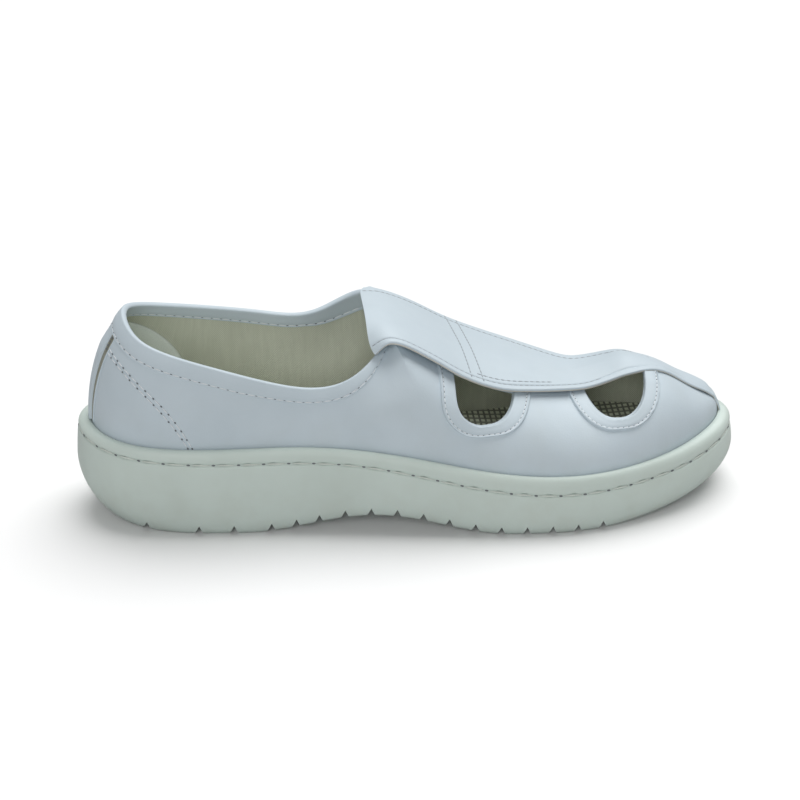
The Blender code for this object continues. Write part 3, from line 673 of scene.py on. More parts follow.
sole_places = places_round(SOLE_COLUMNS)
widest = outline_point(sole_places, 0.0, 0.0)
girth = lengths_along(np.append(widest, widest[:1], 0))
stitch_count = round(girth[-1] / STITCH_PITCH)
phase = girth[:-1] / girth[-1] * stitch_count % 1.0 - 0.5
dimple = DIMPLE_DEPTH * np.exp(-(phase * STITCH_PITCH / DIMPLE_WIDTH) ** 2)
side = []
for row, (inset, *rest) in enumerate(SOLE_SIDE):
    deeper = dimple if row in GROOVE_ROWS else 0.0
    side.append(sole_side(sole_places, inset + deeper, *rest))
inner = bed_point(sole_places, CUP_INSET, 0.0)
sole_columns = np.concatenate((corners_cut(np.stack(side, 1), 2), inner[:, None]), 1)
sole = capped_shell("moulded_sole", sole_columns, [MOULDED_SOLE])
wedges = []
for at in NOTCHES:
    x = at * LENGTH
    floor_height = float(bottom_height(np.array(x)))
    below = floor_height - NOTCH_DEPTH
    outline = ((x - NOTCH_WIDTH, below), (x + NOTCH_WIDTH, below), (x, floor_height + NOTCH_DEPTH))
    wedges.append((outline, -BALL_WIDTH, BALL_WIDTH))
carve(sole, prisms("notches", wedges))
tidy(sole)
dress(sole, "sole", "sole")
print("stitches round the groove:", stitch_count)

# %% [markdown]
# ## The upper
# The upper is one sheet of coated fabric with a canvas face inside. We make its outer face as a fine grid,
# give it its thickness with Solidify, whose inner face takes the second finish, and cut the four eyes with
# a Boolean. Its own map lays the weave of the lining along the wall. Soft creases are listed one by one: each
# is a line on the wall, and the points near it move in or out along the wall's normal.

# %% Eyes seen from the side
EYE_TOP = 0.074
BAND_WIDTH = 0.0064
# ends from the centre line on the lateral and the medial side
BAND_ENDS = {"rear": (0.0160, 0.0160), "front": (0.0035, 0.0085)}
# band's width below each eye, and how much rounder its rear corner is than the eye's
BAND_FEET = {"rear": (0.0038, 0.0038), "front": (0.0030, 0.0090)}
CORNER_POINTS = 12
# ends of the rear and front edges, the foot's height, the two roundings and the distance from the centre line
EYES = {
    "rear": (0.1600, 0.1600, 0.1815, 0.2010, 0.0480, 0.0124, 0.0134, 0.020),
    "front": (0.2050, 0.2215, 0.2455, 0.2455, 0.0444, 0.0140, 0.0138, 0.004),
}


def rounded_corner(before, corner, after, radius):
    back, ahead = unit(before - corner), unit(after - corner)
    half = math.acos(back @ ahead) / 2
    centre = corner + unit(back + ahead) * radius / math.sin(half)
    first = corner + back * radius / math.tan(half) - centre
    last = corner + ahead * radius / math.tan(half) - centre
    shares = np.linspace(0, 1, CORNER_POINTS + 1)[:, None]
    return centre + radius * unit(first * (1 - shares) + last * shares)


def moved_edge(start, end, distance):
    along = unit(end - start)
    return start + distance * np.array((along[1], -along[0])), along


def crossing(edge, other):
    (point, along), (other_point, other_along) = edge, other
    share, _ = np.linalg.solve(np.column_stack((along, -other_along)), other_point - point)
    return point + share * along


def eye_outline(eye, side_margin=0.0, foot_margin=0.0, rounder=0.0):
    """Outline of an eye seen from the side, made larger at its sides and at its foot."""
    rear_top, rear_foot, front_foot, front_top, foot, rear_round, front_round, _ = EYES[eye]
    a, b = np.array((rear_top, EYE_TOP)), np.array((rear_foot, foot))
    c, d = np.array((front_foot, foot)), np.array((front_top, EYE_TOP))
    rear, base = moved_edge(a, b, side_margin), moved_edge(b, c, foot_margin)
    front, top = moved_edge(c, d, side_margin), moved_edge(d, a, 0.0)
    a, b, c, d = crossing(rear, top), crossing(rear, base), crossing(base, front), crossing(front, top)
    first = rounded_corner(a, b, c, rear_round + rounder)
    second = rounded_corner(b, c, d, front_round + foot_margin)
    return np.concatenate((a[None], first, second, d[None]))


# %% Creases, listed one by one
CREASE_POINTS, CREASE_FADE = 24, 0.7
# ends as place and share on the wall, depth inwards and half width
CREASES = (
    ((6.6, 0.62), (7.4, 0.30), 0.0006, 0.0050),
    ((6.1, 0.55), (6.9, 0.22), -0.0004, 0.0045),
    ((-6.7, 0.60), (-7.6, 0.30), 0.0006, 0.0050),
    ((-9.5, 0.28), (-9.9, 0.60), 0.0006, 0.0045),
    ((3.2, 0.60), (4.9, 0.45), 0.0004, 0.0060),
)


def creased(points, normals):
    """Points moved along their normals near the creases."""
    moved = points.copy()
    for (start_place, start_share), (end_place, end_share), depth, width in CREASES:
        shares = np.linspace(0, 1, CREASE_POINTS)
        line = wall_point(
            start_place + (end_place - start_place) * shares,
            start_share + (end_share - start_share) * shares,
        )
        away = np.linalg.norm(points[..., None, :] - line, axis=-1)
        nearest = away.min(-1)
        fade = np.sin(math.pi * shares[away.argmin(-1)]) ** CREASE_FADE
        moved -= (depth * fade * np.exp(-(nearest / width) ** 2))[..., None] * normals
    return moved


# %% Upper
UPPER_COLUMNS, UPPER_ROWS = 14, 40
upper_places = places_round(UPPER_COLUMNS)
upper_shares = np.linspace(0, 1, UPPER_ROWS + 1)
wall_normals = wall_normal(upper_places[:, None], upper_shares)
wall_points = creased(wall_point(upper_places[:, None], upper_shares), wall_normals)
tucked = bed_point(upper_places, UPPER_INSET, GAP)[:, None]
upper_columns = np.concatenate((tucked, 0.5 * (tucked + wall_points[:, :1]), wall_points), 1)
count, rows, _ = upper_columns.shape
upper = mesh_of("upper_sheet", upper_columns, shell_faces(count, rows), [WHITE_COAT, CANVAS])
round_shoe = lengths_along(upper_columns[:, 0])
round_shoe = np.append(round_shoe, 2 * round_shoe[-1] - round_shoe[-2])
up_wall = np.cumsum(np.linalg.norm(np.diff(upper_columns, axis=1), axis=2), 1)
up_wall = np.pad(up_wall, ((0, 1), (1, 0)), mode="constant")
up_wall[-1] = up_wall[0]
cloth = upper.data.uv_layers.new(name="cloth")
for face in upper.data.polygons:
    column, row = divmod(face.vertices[0], rows)
    corners = ((column, row), (column + 1, row), (column + 1, row + 1), (column, row + 1))
    for loop, (at, level) in zip(face.loop_indices, corners):
        cloth.data[loop].uv = round_shoe[at], up_wall[at, level]
tidy(upper)
bpy.context.view_layer.update()
outer_face = BVHTree.FromObject(upper, bpy.context.evaluated_depsgraph_get())
thickness = upper.modifiers.new("thickness", "SOLIDIFY")
thickness.thickness = WALL
thickness.offset = -1
thickness.material_offset = 1
holes = []
for eye, (*_, reach) in EYES.items():
    for sign in (-1, 1):
        holes.append((eye_outline(eye), sign * reach, sign * BALL_WIDTH))
carve(upper, prisms("eyes", holes))
upper.data.shade_smooth()
upper.data.set_sharp_from_angle(angle=SMOOTH_ANGLE)
dress(upper, "leather", "upper")

# %% [markdown]
# ## Eye bands
# A band of the same fabric is turned over each eye's edge and stitched down near its outer edge, which
# stands up as a soft ridge. Its lines are drawn as larger and larger outlines of the eye, cast on the upper
# from the side, and read in even steps, so the band follows the wall. The profile across it
# gives the roll, the sunk stitch line and the ridge.

# %% Bands
BAND_STEPS, LEG_RAYS, CAST_STEP = 150, 1500, 0.0003
# share of the band's width from the eye's edge, and height over the wall
BAND_PROFILE = np.array((
    (0.02, -0.0017), (-0.04, -0.0015), (-0.055, -0.0006), (-0.045, 0.0003), (-0.01, 0.0008), (0.05, 0.0010),
    (0.16, 0.0009), (0.40, 0.0009), (0.62, 0.0009), (0.72, 0.0007), (0.78, 0.0006), (0.84, 0.0009),
    (0.90, 0.0012), (0.955, 0.0011), (0.99, 0.0006), (0.995, -0.0002), (0.60, -0.0003), (0.20, -0.0004),
))
BAND_STITCH, STITCH_LIFT = 0.78, 0.0006
# pressed flatter over the last steps at both ends, under the strap
PRESSED_STEPS, PRESSED_SHARE = 9, 0.25
from_end = BAND_STEPS / 2 - np.abs(np.arange(BAND_STEPS + 1) - BAND_STEPS / 2)
PRESSED = np.interp(from_end, (0, PRESSED_STEPS), (PRESSED_SHARE, 1.0))[:, None]


def read_along(points, count):
    """Points with normals read along a line, in even steps."""
    along = lengths_along(points)
    wanted = np.linspace(0, along[-1], count)
    return np.stack([np.interp(wanted, along, points[:, axis]) for axis in range(points.shape[1])], 1)


def cast_line(eye, share, sign):
    """Line round an eye on the upper, with the upper's normals, from under the strap and back there."""
    outline = eye_outline(eye, share * BAND_WIDTH, *(share * width for width in BAND_FEET[eye]))
    first_leg = np.linspace(outline[0], outline[1], LEG_RAYS)
    last_leg = np.linspace(outline[-2], outline[-1], LEG_RAYS)
    end = BAND_ENDS[eye][sign > 0]
    found = []
    for x, z in np.concatenate((first_leg[:-1], outline[1:-1], last_leg[1:])):
        start = Vector((x + MIDDLE[0], sign * RAYS_FROM, z))
        hit, normal, *_ = outer_face.ray_cast(start, Vector((0, -sign, 0)))
        if hit and sign * hit.y > end:
            found.append((*hit, *normal))
    # behind the vamp's shoulder, out of sight from the side, both legs run straight on
    legs = []
    for x, y, *_ in (found[0], found[-1]):
        leg_y = sign * np.arange(sign * y - CAST_STEP, end, -CAST_STEP)
        hits = [outer_face.ray_cast(Vector((x, y, RAYS_FROM)), Vector((0, 0, -1))) for y in leg_y]
        legs.append([(*hit, *normal) for hit, normal, *_ in hits])
    return read_along(np.array(legs[0][::-1] + found + legs[1]), BAND_STEPS + 1)


stitch_rows = {}
for eye in EYES:
    for side_name, sign in (("lateral", -1), ("medial", 1)):
        lines = {share: cast_line(eye, share, sign) for share in BAND_PROFILE[:, 0]}
        loops = np.stack([
            lines[share][:, :3] + (lift * PRESSED if lift > 0 else lift) * unit(lines[share][:, 3:])
            for share, lift in BAND_PROFILE
        ], 1)
        band = loft(f"band_{eye}_{side_name}", loops - MIDDLE, [WHITE_COAT])
        dress(band, "leather", f"eye_band_{eye}_{side_name}")
        line = lines[BAND_STITCH]
        stitch_rows[f"{eye}_{side_name}"] = (line[:, :3] + STITCH_LIFT * line[:, 3:] - MIDDLE, line[:, 3:])

# %% [markdown]
# ## The strap
# The strap is one flat piece laid over the vamp, so it stays straighter across than the upper below it. Its
# rows give its edges and its height, and it is lifted where the upper comes too near. Its cross-section is
# a thin rounded loop, whose edge shows the beige core of the fabric.

# %% Strap
# share of the length, the two edges, the crest's height, the drop to either edge, and the room over the upper
STRAP = np.array((
    (0.434, -0.258, 0.260, 0.0870, 0.0092, 0.0009, 0.0006),
    (0.467, -0.266, 0.265, 0.0863, 0.0025, 0.0014, 0.0008),
    (0.510, -0.270, 0.270, 0.0812, 0.0024, 0.0016, 0.0009),
    (0.545, -0.279, 0.282, 0.0756, 0.0028, 0.0020, 0.0009),
    (0.579, -0.284, 0.289, 0.0700, 0.0032, 0.0017, 0.0009),
    (0.631, -0.263, 0.281, 0.0636, 0.0036, 0.0012, 0.0017),
    (0.685, -0.219, 0.245, 0.0586, 0.0023, 0.0008, 0.0017),
    (0.737, -0.168, 0.190, 0.0549, 0.0010, 0.0006, 0.0017),
    (0.769, -0.148, 0.178, 0.0547, 0.0010, 0.0010, 0.0017),
    (0.806, -0.120, 0.157, 0.0578, 0.0022, 0.0014, 0.0010),
    (0.841, -0.094, 0.136, 0.0594, 0.0030, 0.0024, 0.0006),
    (0.887, -0.047, 0.104, 0.0534, 0.0022, 0.0014, 0.0003),
    (0.922, -0.030, 0.096, 0.0490, 0.0018, 0.0008, 0.0002),
    (0.956, -0.012, 0.090, 0.0440, 0.0015, 0.0006, 0.0002),
    (0.967, 0.000, 0.084, 0.0402, 0.0012, 0.0004, 0.0002),
    (0.975, 0.006, 0.078, 0.0372, 0.0010, 0.0004, 0.0002),
    (0.980, 0.010, 0.074, 0.0342, 0.0008, 0.0004, 0.0003),
    (0.983, 0.013, 0.071, 0.0306, 0.0006, 0.0004, 0.0006),
))
STRAP_SHAPE = Spline(STRAP, closed=False)
STRAP_STEPS, MIDDLE_COLUMNS, REAR_CORNER = 8, 34, 0.0020
# rows of the table where the strap grows thinner, and its share of the thickness there
THIN_ROWS, THIN_SHARES = (0, 9, 12, 17), (1.0, 1.0, 0.60, 0.55)
# half width below which the columns at an edge crowd together
NARROW_HALF = 0.014
STEEPEST, SOFTNESS, BESIDE_DROP, SMOOTHINGS = 0.6, 0.0008, 0.002, 8
# columns by their distance in from an edge, and the line where the edge is turned under
EDGE_COLUMNS = np.array((0.0, 0.6, 1.4, 2.1, 2.5, 2.75, 3.0, 3.25, 3.5, 3.9, 4.6, 5.6)) / 1000
TURNED_EDGES, LINE_DEPTH, LINE_WIDTH = (0.0027, 0.0042), 0.00040, 0.00035
LINE_ROWS, LINE_FADES = (0.0, 12.5), (0.3, 2.0)
# share of the length on the lateral and on the medial edge, for the two seams across the strap
CROSS_SEAMS = (0.587, 0.567), (0.606, 0.584)
# out from the top face's edge and down from it, as shares of the thickness
EDGE_PROFILE = np.array((
    (0.00, 0.00), (0.16, 0.03), (0.26, 0.11), (0.31, 0.24),
    (0.31, 0.52), (0.27, 0.60), (0.27, 0.94), (0.00, 1.00),
))


def row_at(share):
    """Row of the strap's table at a share of the length."""
    return np.interp(share, STRAP[:, 0], np.arange(len(STRAP)))


def smoothed(heights, times):
    """Grid of heights, each mixed with its neighbours."""
    for _ in range(times):
        wide = np.pad(heights, 1, mode="edge")
        beside = wide[:-2, 1:-1] + wide[2:, 1:-1] + wide[1:-1, :-2] + wide[1:-1, 2:]
        heights = (beside + 4 * heights) / 8
    return heights


def height_over_upper(x, y, z, over):
    """Least height of the strap's top face over the upper, or a lower one than its own beside the upper."""
    hit, normal, *_ = outer_face.ray_cast(Vector((x + MIDDLE[0], y, RAYS_FROM)), Vector((0, 0, -1)))
    return hit.z + over / max(normal.z, STEEPEST) if hit else z - BESIDE_DROP


strap_rows = np.linspace(0, len(STRAP) - 1, (len(STRAP) - 1) * STRAP_STEPS + 1)
strap_values = STRAP_SHAPE(strap_rows)
thick = STRAP_THICKNESS * np.interp(strap_rows, THIN_ROWS, THIN_SHARES)
lateral_edges, medial_edges = strap_values[:, 1] * BALL_WIDTH, strap_values[:, 2] * BALL_WIDTH
strap_halves = (medial_edges - lateral_edges) / 2 - EDGE_PROFILE[:, 0].max() * STRAP_THICKNESS
columns = []
for half in strap_halves:
    from_edge = EDGE_COLUMNS * min(1.0, half / NARROW_HALF) / half
    middle = np.linspace(-1 + from_edge[-1], 1 - from_edge[-1], MIDDLE_COLUMNS + 2)[1:-1]
    columns.append(np.concatenate((from_edge - 1, middle, 1 - from_edge[::-1])))
strap_across = np.array(columns)
x = strap_values[:, :1] * LENGTH + REAR_CORNER * np.maximum(0, 1 - strap_rows)[:, None] * strap_across**8
y = (medial_edges + lateral_edges)[:, None] / 2 + strap_halves[:, None] * strap_across
drop = np.where(strap_across > 0, strap_values[:, 5:6], strap_values[:, 4:5])
z = strap_values[:, 3:4] - drop * strap_across**2
over = strap_values[:, 6] + thick
least = smoothed(np.vectorize(height_over_upper)(x, y, z, over[:, None]), SMOOTHINGS)
z = (z + least + np.sqrt((z - least) ** 2 + SOFTNESS**2)) / 2
fade_in = np.clip((strap_rows - LINE_ROWS[0]) / LINE_FADES[0], 0, 1)
fade_out = np.clip((LINE_ROWS[1] - strap_rows) / LINE_FADES[1], 0, 1)
in_from_edge = (1 - np.abs(strap_across)) * strap_halves[:, None]
turned = np.where(strap_across < 0, *TURNED_EDGES)
z -= LINE_DEPTH * (fade_in * fade_out)[:, None] * np.exp(-((in_from_edge - turned) / LINE_WIDTH) ** 2)
strap_top = np.stack((x, y, z), -1)
strap_normals = unit(np.cross(np.gradient(strap_top, axis=0), np.gradient(strap_top, axis=1)))


def strap_edge(column, beside):
    """Square edge of the strap with small roundings, from its top face to its under face."""
    away = unit(strap_top[:, column] - strap_top[:, beside])[:, None]
    out, down = EDGE_PROFILE.T[:, None, :, None] * thick[:, None, None]
    return strap_top[:, None, column] + out * away - down * strap_normals[:, None, column]


medial_side = strap_edge(-1, -2)
lateral_side = strap_edge(0, 1)[:, ::-1]
under = (strap_top - thick[:, None, None] * strap_normals)[:, -2:0:-1]
strap_loops = np.concatenate((strap_top[:, 1:-1], medial_side, under, lateral_side), 1)
first_side = strap_top.shape[1] - 2
second_side = 2 * first_side + len(EDGE_PROFILE)
core = {first_side + 4, first_side + 5, second_side + 1, second_side + 2}
strap = loft("laid_strap", strap_loops, [WHITE_COAT, CUT_EDGE], edge_finish=core)
dress(strap, "leather", "strap")

# %% [markdown]
# ## Collar binding, back stay and heel grip
# The binding is a strip folded over the collar's edge, with a longer leg outside than inside. Its profile
# is drawn once, as distances below the edge and out from the wall, and carried along the collar. The stay
# covers the seam at the heel's back in the same way, and the brushed grip lines the heel inside.

# %% Collar binding
BINDING_END, BINDING_COLUMNS, EDGE_DEPTH = 6.7, 16, 0.004
# distance below the edge, and out from the outer face, on the legs outside and inside
OUTER_LEG = np.array((
    (0.0081, -0.0003), (0.0082, 0.0001), (0.0080, 0.0004), (0.0076, 0.0005),
    (0.0073, 0.0004), (0.0070, 0.0002), (0.0067, 0.0004), (0.0060, 0.0006),
    (0.0045, 0.0007), (0.0030, 0.0007), (0.0015, 0.0006), (0.0004, 0.0005),
))
INNER_LEG = np.array((
    (0.0004, -0.0023), (0.0015, -0.0024), (0.0030, -0.0024), (0.0042, -0.0024), (0.0048, -0.0021),
    (0.0052, -0.0024), (0.0056, -0.0023), (0.0057, -0.0016),
))
FOLD, FOLD_WIDTH, FOLD_RISE = np.radians(np.linspace(12, 168, 9)), 0.0014, 0.0008

binding_places = np.linspace(-BINDING_END, BINDING_END, int(2 * BINDING_END * BINDING_COLUMNS) + 1)
edge = top_edge(binding_places)
across = wall_normal(binding_places, share_below(binding_places, EDGE_DEPTH))
along = unit(np.gradient(edge, axis=0))
rise = unit(np.cross(across, along))
# outside the binding narrows where the collar dips, inside it widens towards the throat
outer_width = np.interp(np.abs(binding_places), (0, 3.4, 5.0, 6.4), (1.0, 1.0, 0.76, 0.82))
inner_width = np.interp(np.abs(binding_places), (0, 3.4, 4.8, 5.5, 6.2), (1.0, 1.0, 1.05, 1.75, 2.4))


def leg(rows, width):
    return [on_wall(binding_places, share_below(binding_places, below * width), out) for below, out in rows]


fold = []
for turn in FOLD:
    out = -WALL / 2 + FOLD_WIDTH * math.cos(turn)
    fold.append(edge + out * across + FOLD_RISE * math.sin(turn) * rise)
# one row within the wall closes the loop
hidden = leg(((0.0020, -0.0009),), outer_width)
binding_loops = np.stack(leg(OUTER_LEG, outer_width) + fold + leg(INNER_LEG, inner_width) + hidden, 1)
binding = loft("folded_binding", binding_loops, [WHITE_COAT])
dress(binding, "leather", "collar_binding")
for name, below, width, out in (
    ("collar_outside", 0.0070, outer_width, 0.0002),
    ("collar_inside", 0.0048, inner_width, -0.0021),
):
    share = share_below(binding_places, below * width)
    face = math.copysign(1, out) * wall_normal(binding_places, share)
    stitch_rows[name] = (on_wall(binding_places, share, out), face)


# %% Back stay
STAY_ENDS = 0.02, 0.84
STAY_WIDTHS, STAY_ROWS = (0.215, 0.25), 40
TACK_PLACE, TACK_SHARES = 0.325, np.linspace(0.69, 0.80, 8)
# share of the half width, and height over the wall: a raw edge shows beside the stay, darkened with painted
# shade of the gap
STAY_SIDE = np.array((
    (1.78, -0.0003), (1.77, 0.0003), (1.71, 0.0005), (1.62, 0.0005), (1.58, 0.0001),
    (1.04, 0.0001), (1.00, 0.0008), (0.95, 0.0012), (0.80, 0.0012), (0.40, 0.0012),
))
STAY_PROFILE = np.concatenate((STAY_SIDE * (-1, 1), ((0.0, 0.0012),), STAY_SIDE[::-1], ((0.0, -0.0004),)))
RAW_EDGE_AND_GAP_SHADE_SIDES = {3, 4, 5} | {2 * len(STAY_SIDE) - i for i in (3, 4, 5)}
stay_shares = np.linspace(*STAY_ENDS, STAY_ROWS)
stay_widths = np.linspace(*STAY_WIDTHS, STAY_ROWS)
# flatter at its top, under the binding
stay_heights = np.interp(stay_shares, (0.66, 0.80), (1.0, 0.3))[:, None] * STAY_PROFILE[:, 1]
stay_loops = on_wall(stay_widths[:, None] * STAY_PROFILE[:, 0], stay_shares[:, None], stay_heights)
stay = loft("stay", stay_loops, [WHITE_COAT, RAW_EDGE_AND_GAP_SHADE], edge_finish=RAW_EDGE_AND_GAP_SHADE_SIDES)
dress(stay, "leather", "back_stay")
tacks = []
for sign in (1, -1):
    place = np.full_like(TACK_SHARES, sign * TACK_PLACE)
    tacks.append((on_wall(place, TACK_SHARES, 0.0002), wall_normal(place, TACK_SHARES)))

# %% Heel grip
GRIP_END, GRIP_FOOT, GRIP_TOP, GRIP_FULLNESS = 2.7, 0.12, 0.84, 2.5
GRIP_REACH, GRIP_COLUMNS = 0.985, 70
# share of the height, and distance in from the outer face
GRIP_PROFILE = np.array((
    (0.0, -0.0017), (0.0, -0.0024), (0.02, -0.0027), (0.2, -0.0028), (0.4, -0.0028), (0.6, -0.0028),
    (0.8, -0.0028), (0.94, -0.0028), (0.98, -0.0026), (1.0, -0.0023), (1.0, -0.0017), (0.5, -0.0016),
))
grip_across = np.linspace(-GRIP_REACH, GRIP_REACH, GRIP_COLUMNS)
grip_heights = (GRIP_TOP - GRIP_FOOT) * np.sqrt(1 - np.abs(grip_across) ** GRIP_FULLNESS)
grip_shares = GRIP_FOOT + grip_heights[:, None] * GRIP_PROFILE[:, 0]
grip_loops = on_wall(GRIP_END * grip_across[:, None], grip_shares, GRIP_PROFILE[:, 1])
grip = loft("brushed_grip", grip_loops, [BRUSHED_GRIP])
dress(grip, "lining", "heel_grip")

# %% Insole
INSOLE_INSET, INSOLE_COLUMNS = UPPER_INSET + WALL + GAP, 8
# inset of its edge, and share of the thickness
INSOLE_EDGE = (0.0, 0.0), (0.0, 0.8), (0.0003, 0.95), (0.0010, 1.0)
insole_places = places_round(INSOLE_COLUMNS)
insole_rows = [
    bed_point(insole_places, INSOLE_INSET + inset, GAP + share * INSOLE_THICKNESS)
    for inset, share in INSOLE_EDGE
]
insole = capped_shell("meshed_insole", np.stack(insole_rows, 1), [MESHED])
dress(insole, "insole", "insole")

# %% [markdown]
# ## Stitches
# A seam is the same small thread over and over, with a mark of painted shade at the needle hole between, so
# Geometry Nodes lay it out. The tree resamples a line to the stitch length, turns an instance to the line and
# to the surface's normal at each point, and makes the instances real. Every seam of the shoe goes through
# one tree, with its own sizes.


# %% Seam tree
SEAM_SIZES = "Pitch", "Thread Length", "Thread Width", "Hole Length", "Hole Width"


def seam_tree():
    tree = bpy.data.node_groups.new("seam", "GeometryNodeTree")
    inlet = tree.interface.new_socket
    inlet("Geometry", in_out="INPUT", socket_type="NodeSocketGeometry")
    for label in SEAM_SIZES:
        inlet(label, in_out="INPUT", socket_type="NodeSocketFloat").default_value = 0.001
    for label in ("Thread", "Hole"):
        inlet(label, in_out="INPUT", socket_type="NodeSocketMaterial")
    inlet("Geometry", in_out="OUTPUT", socket_type="NodeSocketGeometry")
    given = tree.nodes.new("NodeGroupInput").outputs
    put = tree.nodes.new("NodeGroupOutput").inputs
    curve = node(tree, "GeometryNodeMeshToCurve", {"Mesh": given["Geometry"]}).outputs["Curve"]
    steps = node(tree, "GeometryNodeResampleCurve", {"Curve": curve, "Length": given["Pitch"]}, mode="LENGTH")
    face = node(tree, "GeometryNodeInputNamedAttribute", {"Name": "face"}, data_type="FLOAT_VECTOR")
    tangent = node(tree, "GeometryNodeInputTangent")
    turn = node(tree, "FunctionNodeAxesToRotation", primary_axis="Z", secondary_axis="X")
    tree.links.new(face.outputs["Attribute"], turn.inputs["Primary Axis"])
    tree.links.new(tangent.outputs["Tangent"], turn.inputs["Secondary Axis"])
    half_pitch = math_node(tree, "MULTIPLY", given["Pitch"], 0.5)
    branches = []
    for length, width, shift, flat, finish_socket in (
        ("Thread Length", "Thread Width", 0.0, 0.42, "Thread"),
        # a flattened mark between the threads, whose finish paints the shade in the needle hole
        ("Hole Length", "Hole Width", half_pitch, 0.16, "Hole"),
    ):
        ball = node(tree, "GeometryNodeMeshUVSphere", {"Segments": 8, "Rings": 5, "Radius": 1.0})
        long_half = math_node(tree, "MULTIPLY", given[length], 0.5)
        wide_half = math_node(tree, "MULTIPLY", given[width], 0.5)
        high_half = math_node(tree, "MULTIPLY", given[width], flat)
        size = node(tree, "ShaderNodeCombineXYZ", {0: long_half, 1: wide_half, 2: high_half}).outputs[0]
        move = node(tree, "ShaderNodeCombineXYZ", {0: shift}).outputs[0]
        links = {"Geometry": ball.outputs["Mesh"], "Translation": move, "Scale": size}
        shape = node(tree, "GeometryNodeTransform", links).outputs["Geometry"]
        links = {"Points": steps.outputs["Curve"], "Instance": shape, "Rotation": turn.outputs["Rotation"]}
        laid = node(tree, "GeometryNodeInstanceOnPoints", links).outputs["Instances"]
        real = node(tree, "GeometryNodeRealizeInstances", {"Geometry": laid}).outputs["Geometry"]
        smooth = node(tree, "GeometryNodeSetShadeSmooth", {"Geometry": real}).outputs["Geometry"]
        links = {"Geometry": smooth, "Material": given[finish_socket]}
        branches.append(node(tree, "GeometryNodeSetMaterial", links).outputs["Geometry"])
    join = tree.nodes.new("GeometryNodeJoinGeometry")
    for branch in reversed(branches):
        tree.links.new(branch, join.inputs["Geometry"])
    tree.links.new(join.outputs["Geometry"], put["Geometry"])
    return tree


SEAM = seam_tree()
SEAM_INPUTS = {item.name: item.identifier for item in SEAM.interface.items_tree if item.in_out == "INPUT"}


def sew(name, lines, slot, thread, hole, *sizes):
    """Stitches along lines of points and normals, made a plain mesh. The sizes are in the tree's order."""
    mesh = bpy.data.meshes.new(name)
    points = np.concatenate([line for line, _ in lines])
    faces = np.concatenate([normal for _, normal in lines])
    edges, start = [], 0
    for line, _ in lines:
        edges += [(start + i, start + i + 1) for i in range(len(line) - 1)]
        start += len(line)
    mesh.from_pydata((points + MIDDLE).tolist(), edges, [])
    attribute = mesh.attributes.new("face", "FLOAT_VECTOR", "POINT")
    attribute.data.foreach_set("vector", faces.astype(np.float32).ravel())
    obj = as_object(name, mesh)
    seam = obj.modifiers.new("seam", "NODES")
    seam.node_group = SEAM
    for label, value in zip((*SEAM_SIZES, "Thread", "Hole"), (*sizes, thread, hole)):
        seam[SEAM_INPUTS[label]] = value
    plain(obj)
    dress(obj, slot)


print("seam tree inputs:", ", ".join(SEAM_INPUTS))

# %% Seams of bands, collar and stay
band_lines = [stitch_rows[f"{eye}_{side_name}"] for eye in EYES for side_name in ("lateral", "medial")]
collar_lines = [stitch_rows["collar_outside"], stitch_rows["collar_inside"]]
sew("seam_bands", band_lines, "leather", THREAD, NEEDLE_HOLE_SHADE, 0.0024, 0.0019, 0.00055, 0.0007, 0.0006)
sew("seam_collar", collar_lines, "leather", THREAD, NEEDLE_HOLE_SHADE, 0.0041, 0.0035, 0.00060, 0.0010, 0.0008)
sew("seam_stay", tacks, "leather", RAW_EDGE_AND_GAP_SHADE, NEEDLE_HOLE_SHADE, 0.0018, 0.0006, 0.0005, 0.0008, 0.0020)

# %% Seams of the strap
strap_grid = np.concatenate((strap_top, strap_normals), -1)


def on_strap(row, across):
    """Point and normal of the strap's top face at a row of its table and a share across."""
    at = np.interp(row, strap_rows, np.arange(len(strap_rows)))
    i = min(int(at), len(strap_rows) - 2)
    ends = []
    for k in (i, i + 1):
        ends.append(np.array([np.interp(across, strap_across[k], values) for values in strap_grid[k].T]))
    return ends[0] + (at - i) * (ends[1] - ends[0])


def strap_line(rows, across):
    read = np.array([on_strap(row, share) for row, share in zip(rows, across)])
    return read[:, :3], unit(read[:, 3:])


# side, first and last row of the table, points, and distance in from the edge
EDGE_SEAMS = (
    (-1, 0.2, 8.4, 160, TURNED_EDGES[0]),
    (1, 0.2, 10.6, 160, TURNED_EDGES[1]),
    (-1, 4.4, 6.4, 60, 0.0049),
)
strap_seams = []
for sign, first_row, last_row, points, inset in EDGE_SEAMS:
    along_rows = np.linspace(first_row, last_row, points)
    halves = np.interp(along_rows, strap_rows, strap_halves)
    strap_seams.append(strap_line(along_rows, sign * (1 - inset / halves)))
CROSS_REACH, CROSS_POINTS = 0.93, 60
seam_across = np.linspace(-CROSS_REACH, CROSS_REACH, CROSS_POINTS)
for lateral_share, medial_share in CROSS_SEAMS:
    shares = np.interp(seam_across, (-1, 1), (lateral_share, medial_share))
    strap_seams.append(strap_line(row_at(shares), seam_across))
# thread and holes on the strap both take the grey that paints their shade
sew("seam_strap", strap_seams, "leather", STRAP_STITCH_SHADE, STRAP_STITCH_SHADE, 0.0026, 0.0022, 0.00060, 0.0006, 0.0005)

# %% Seams of the heel counter
COUNTER_POINTS = 80
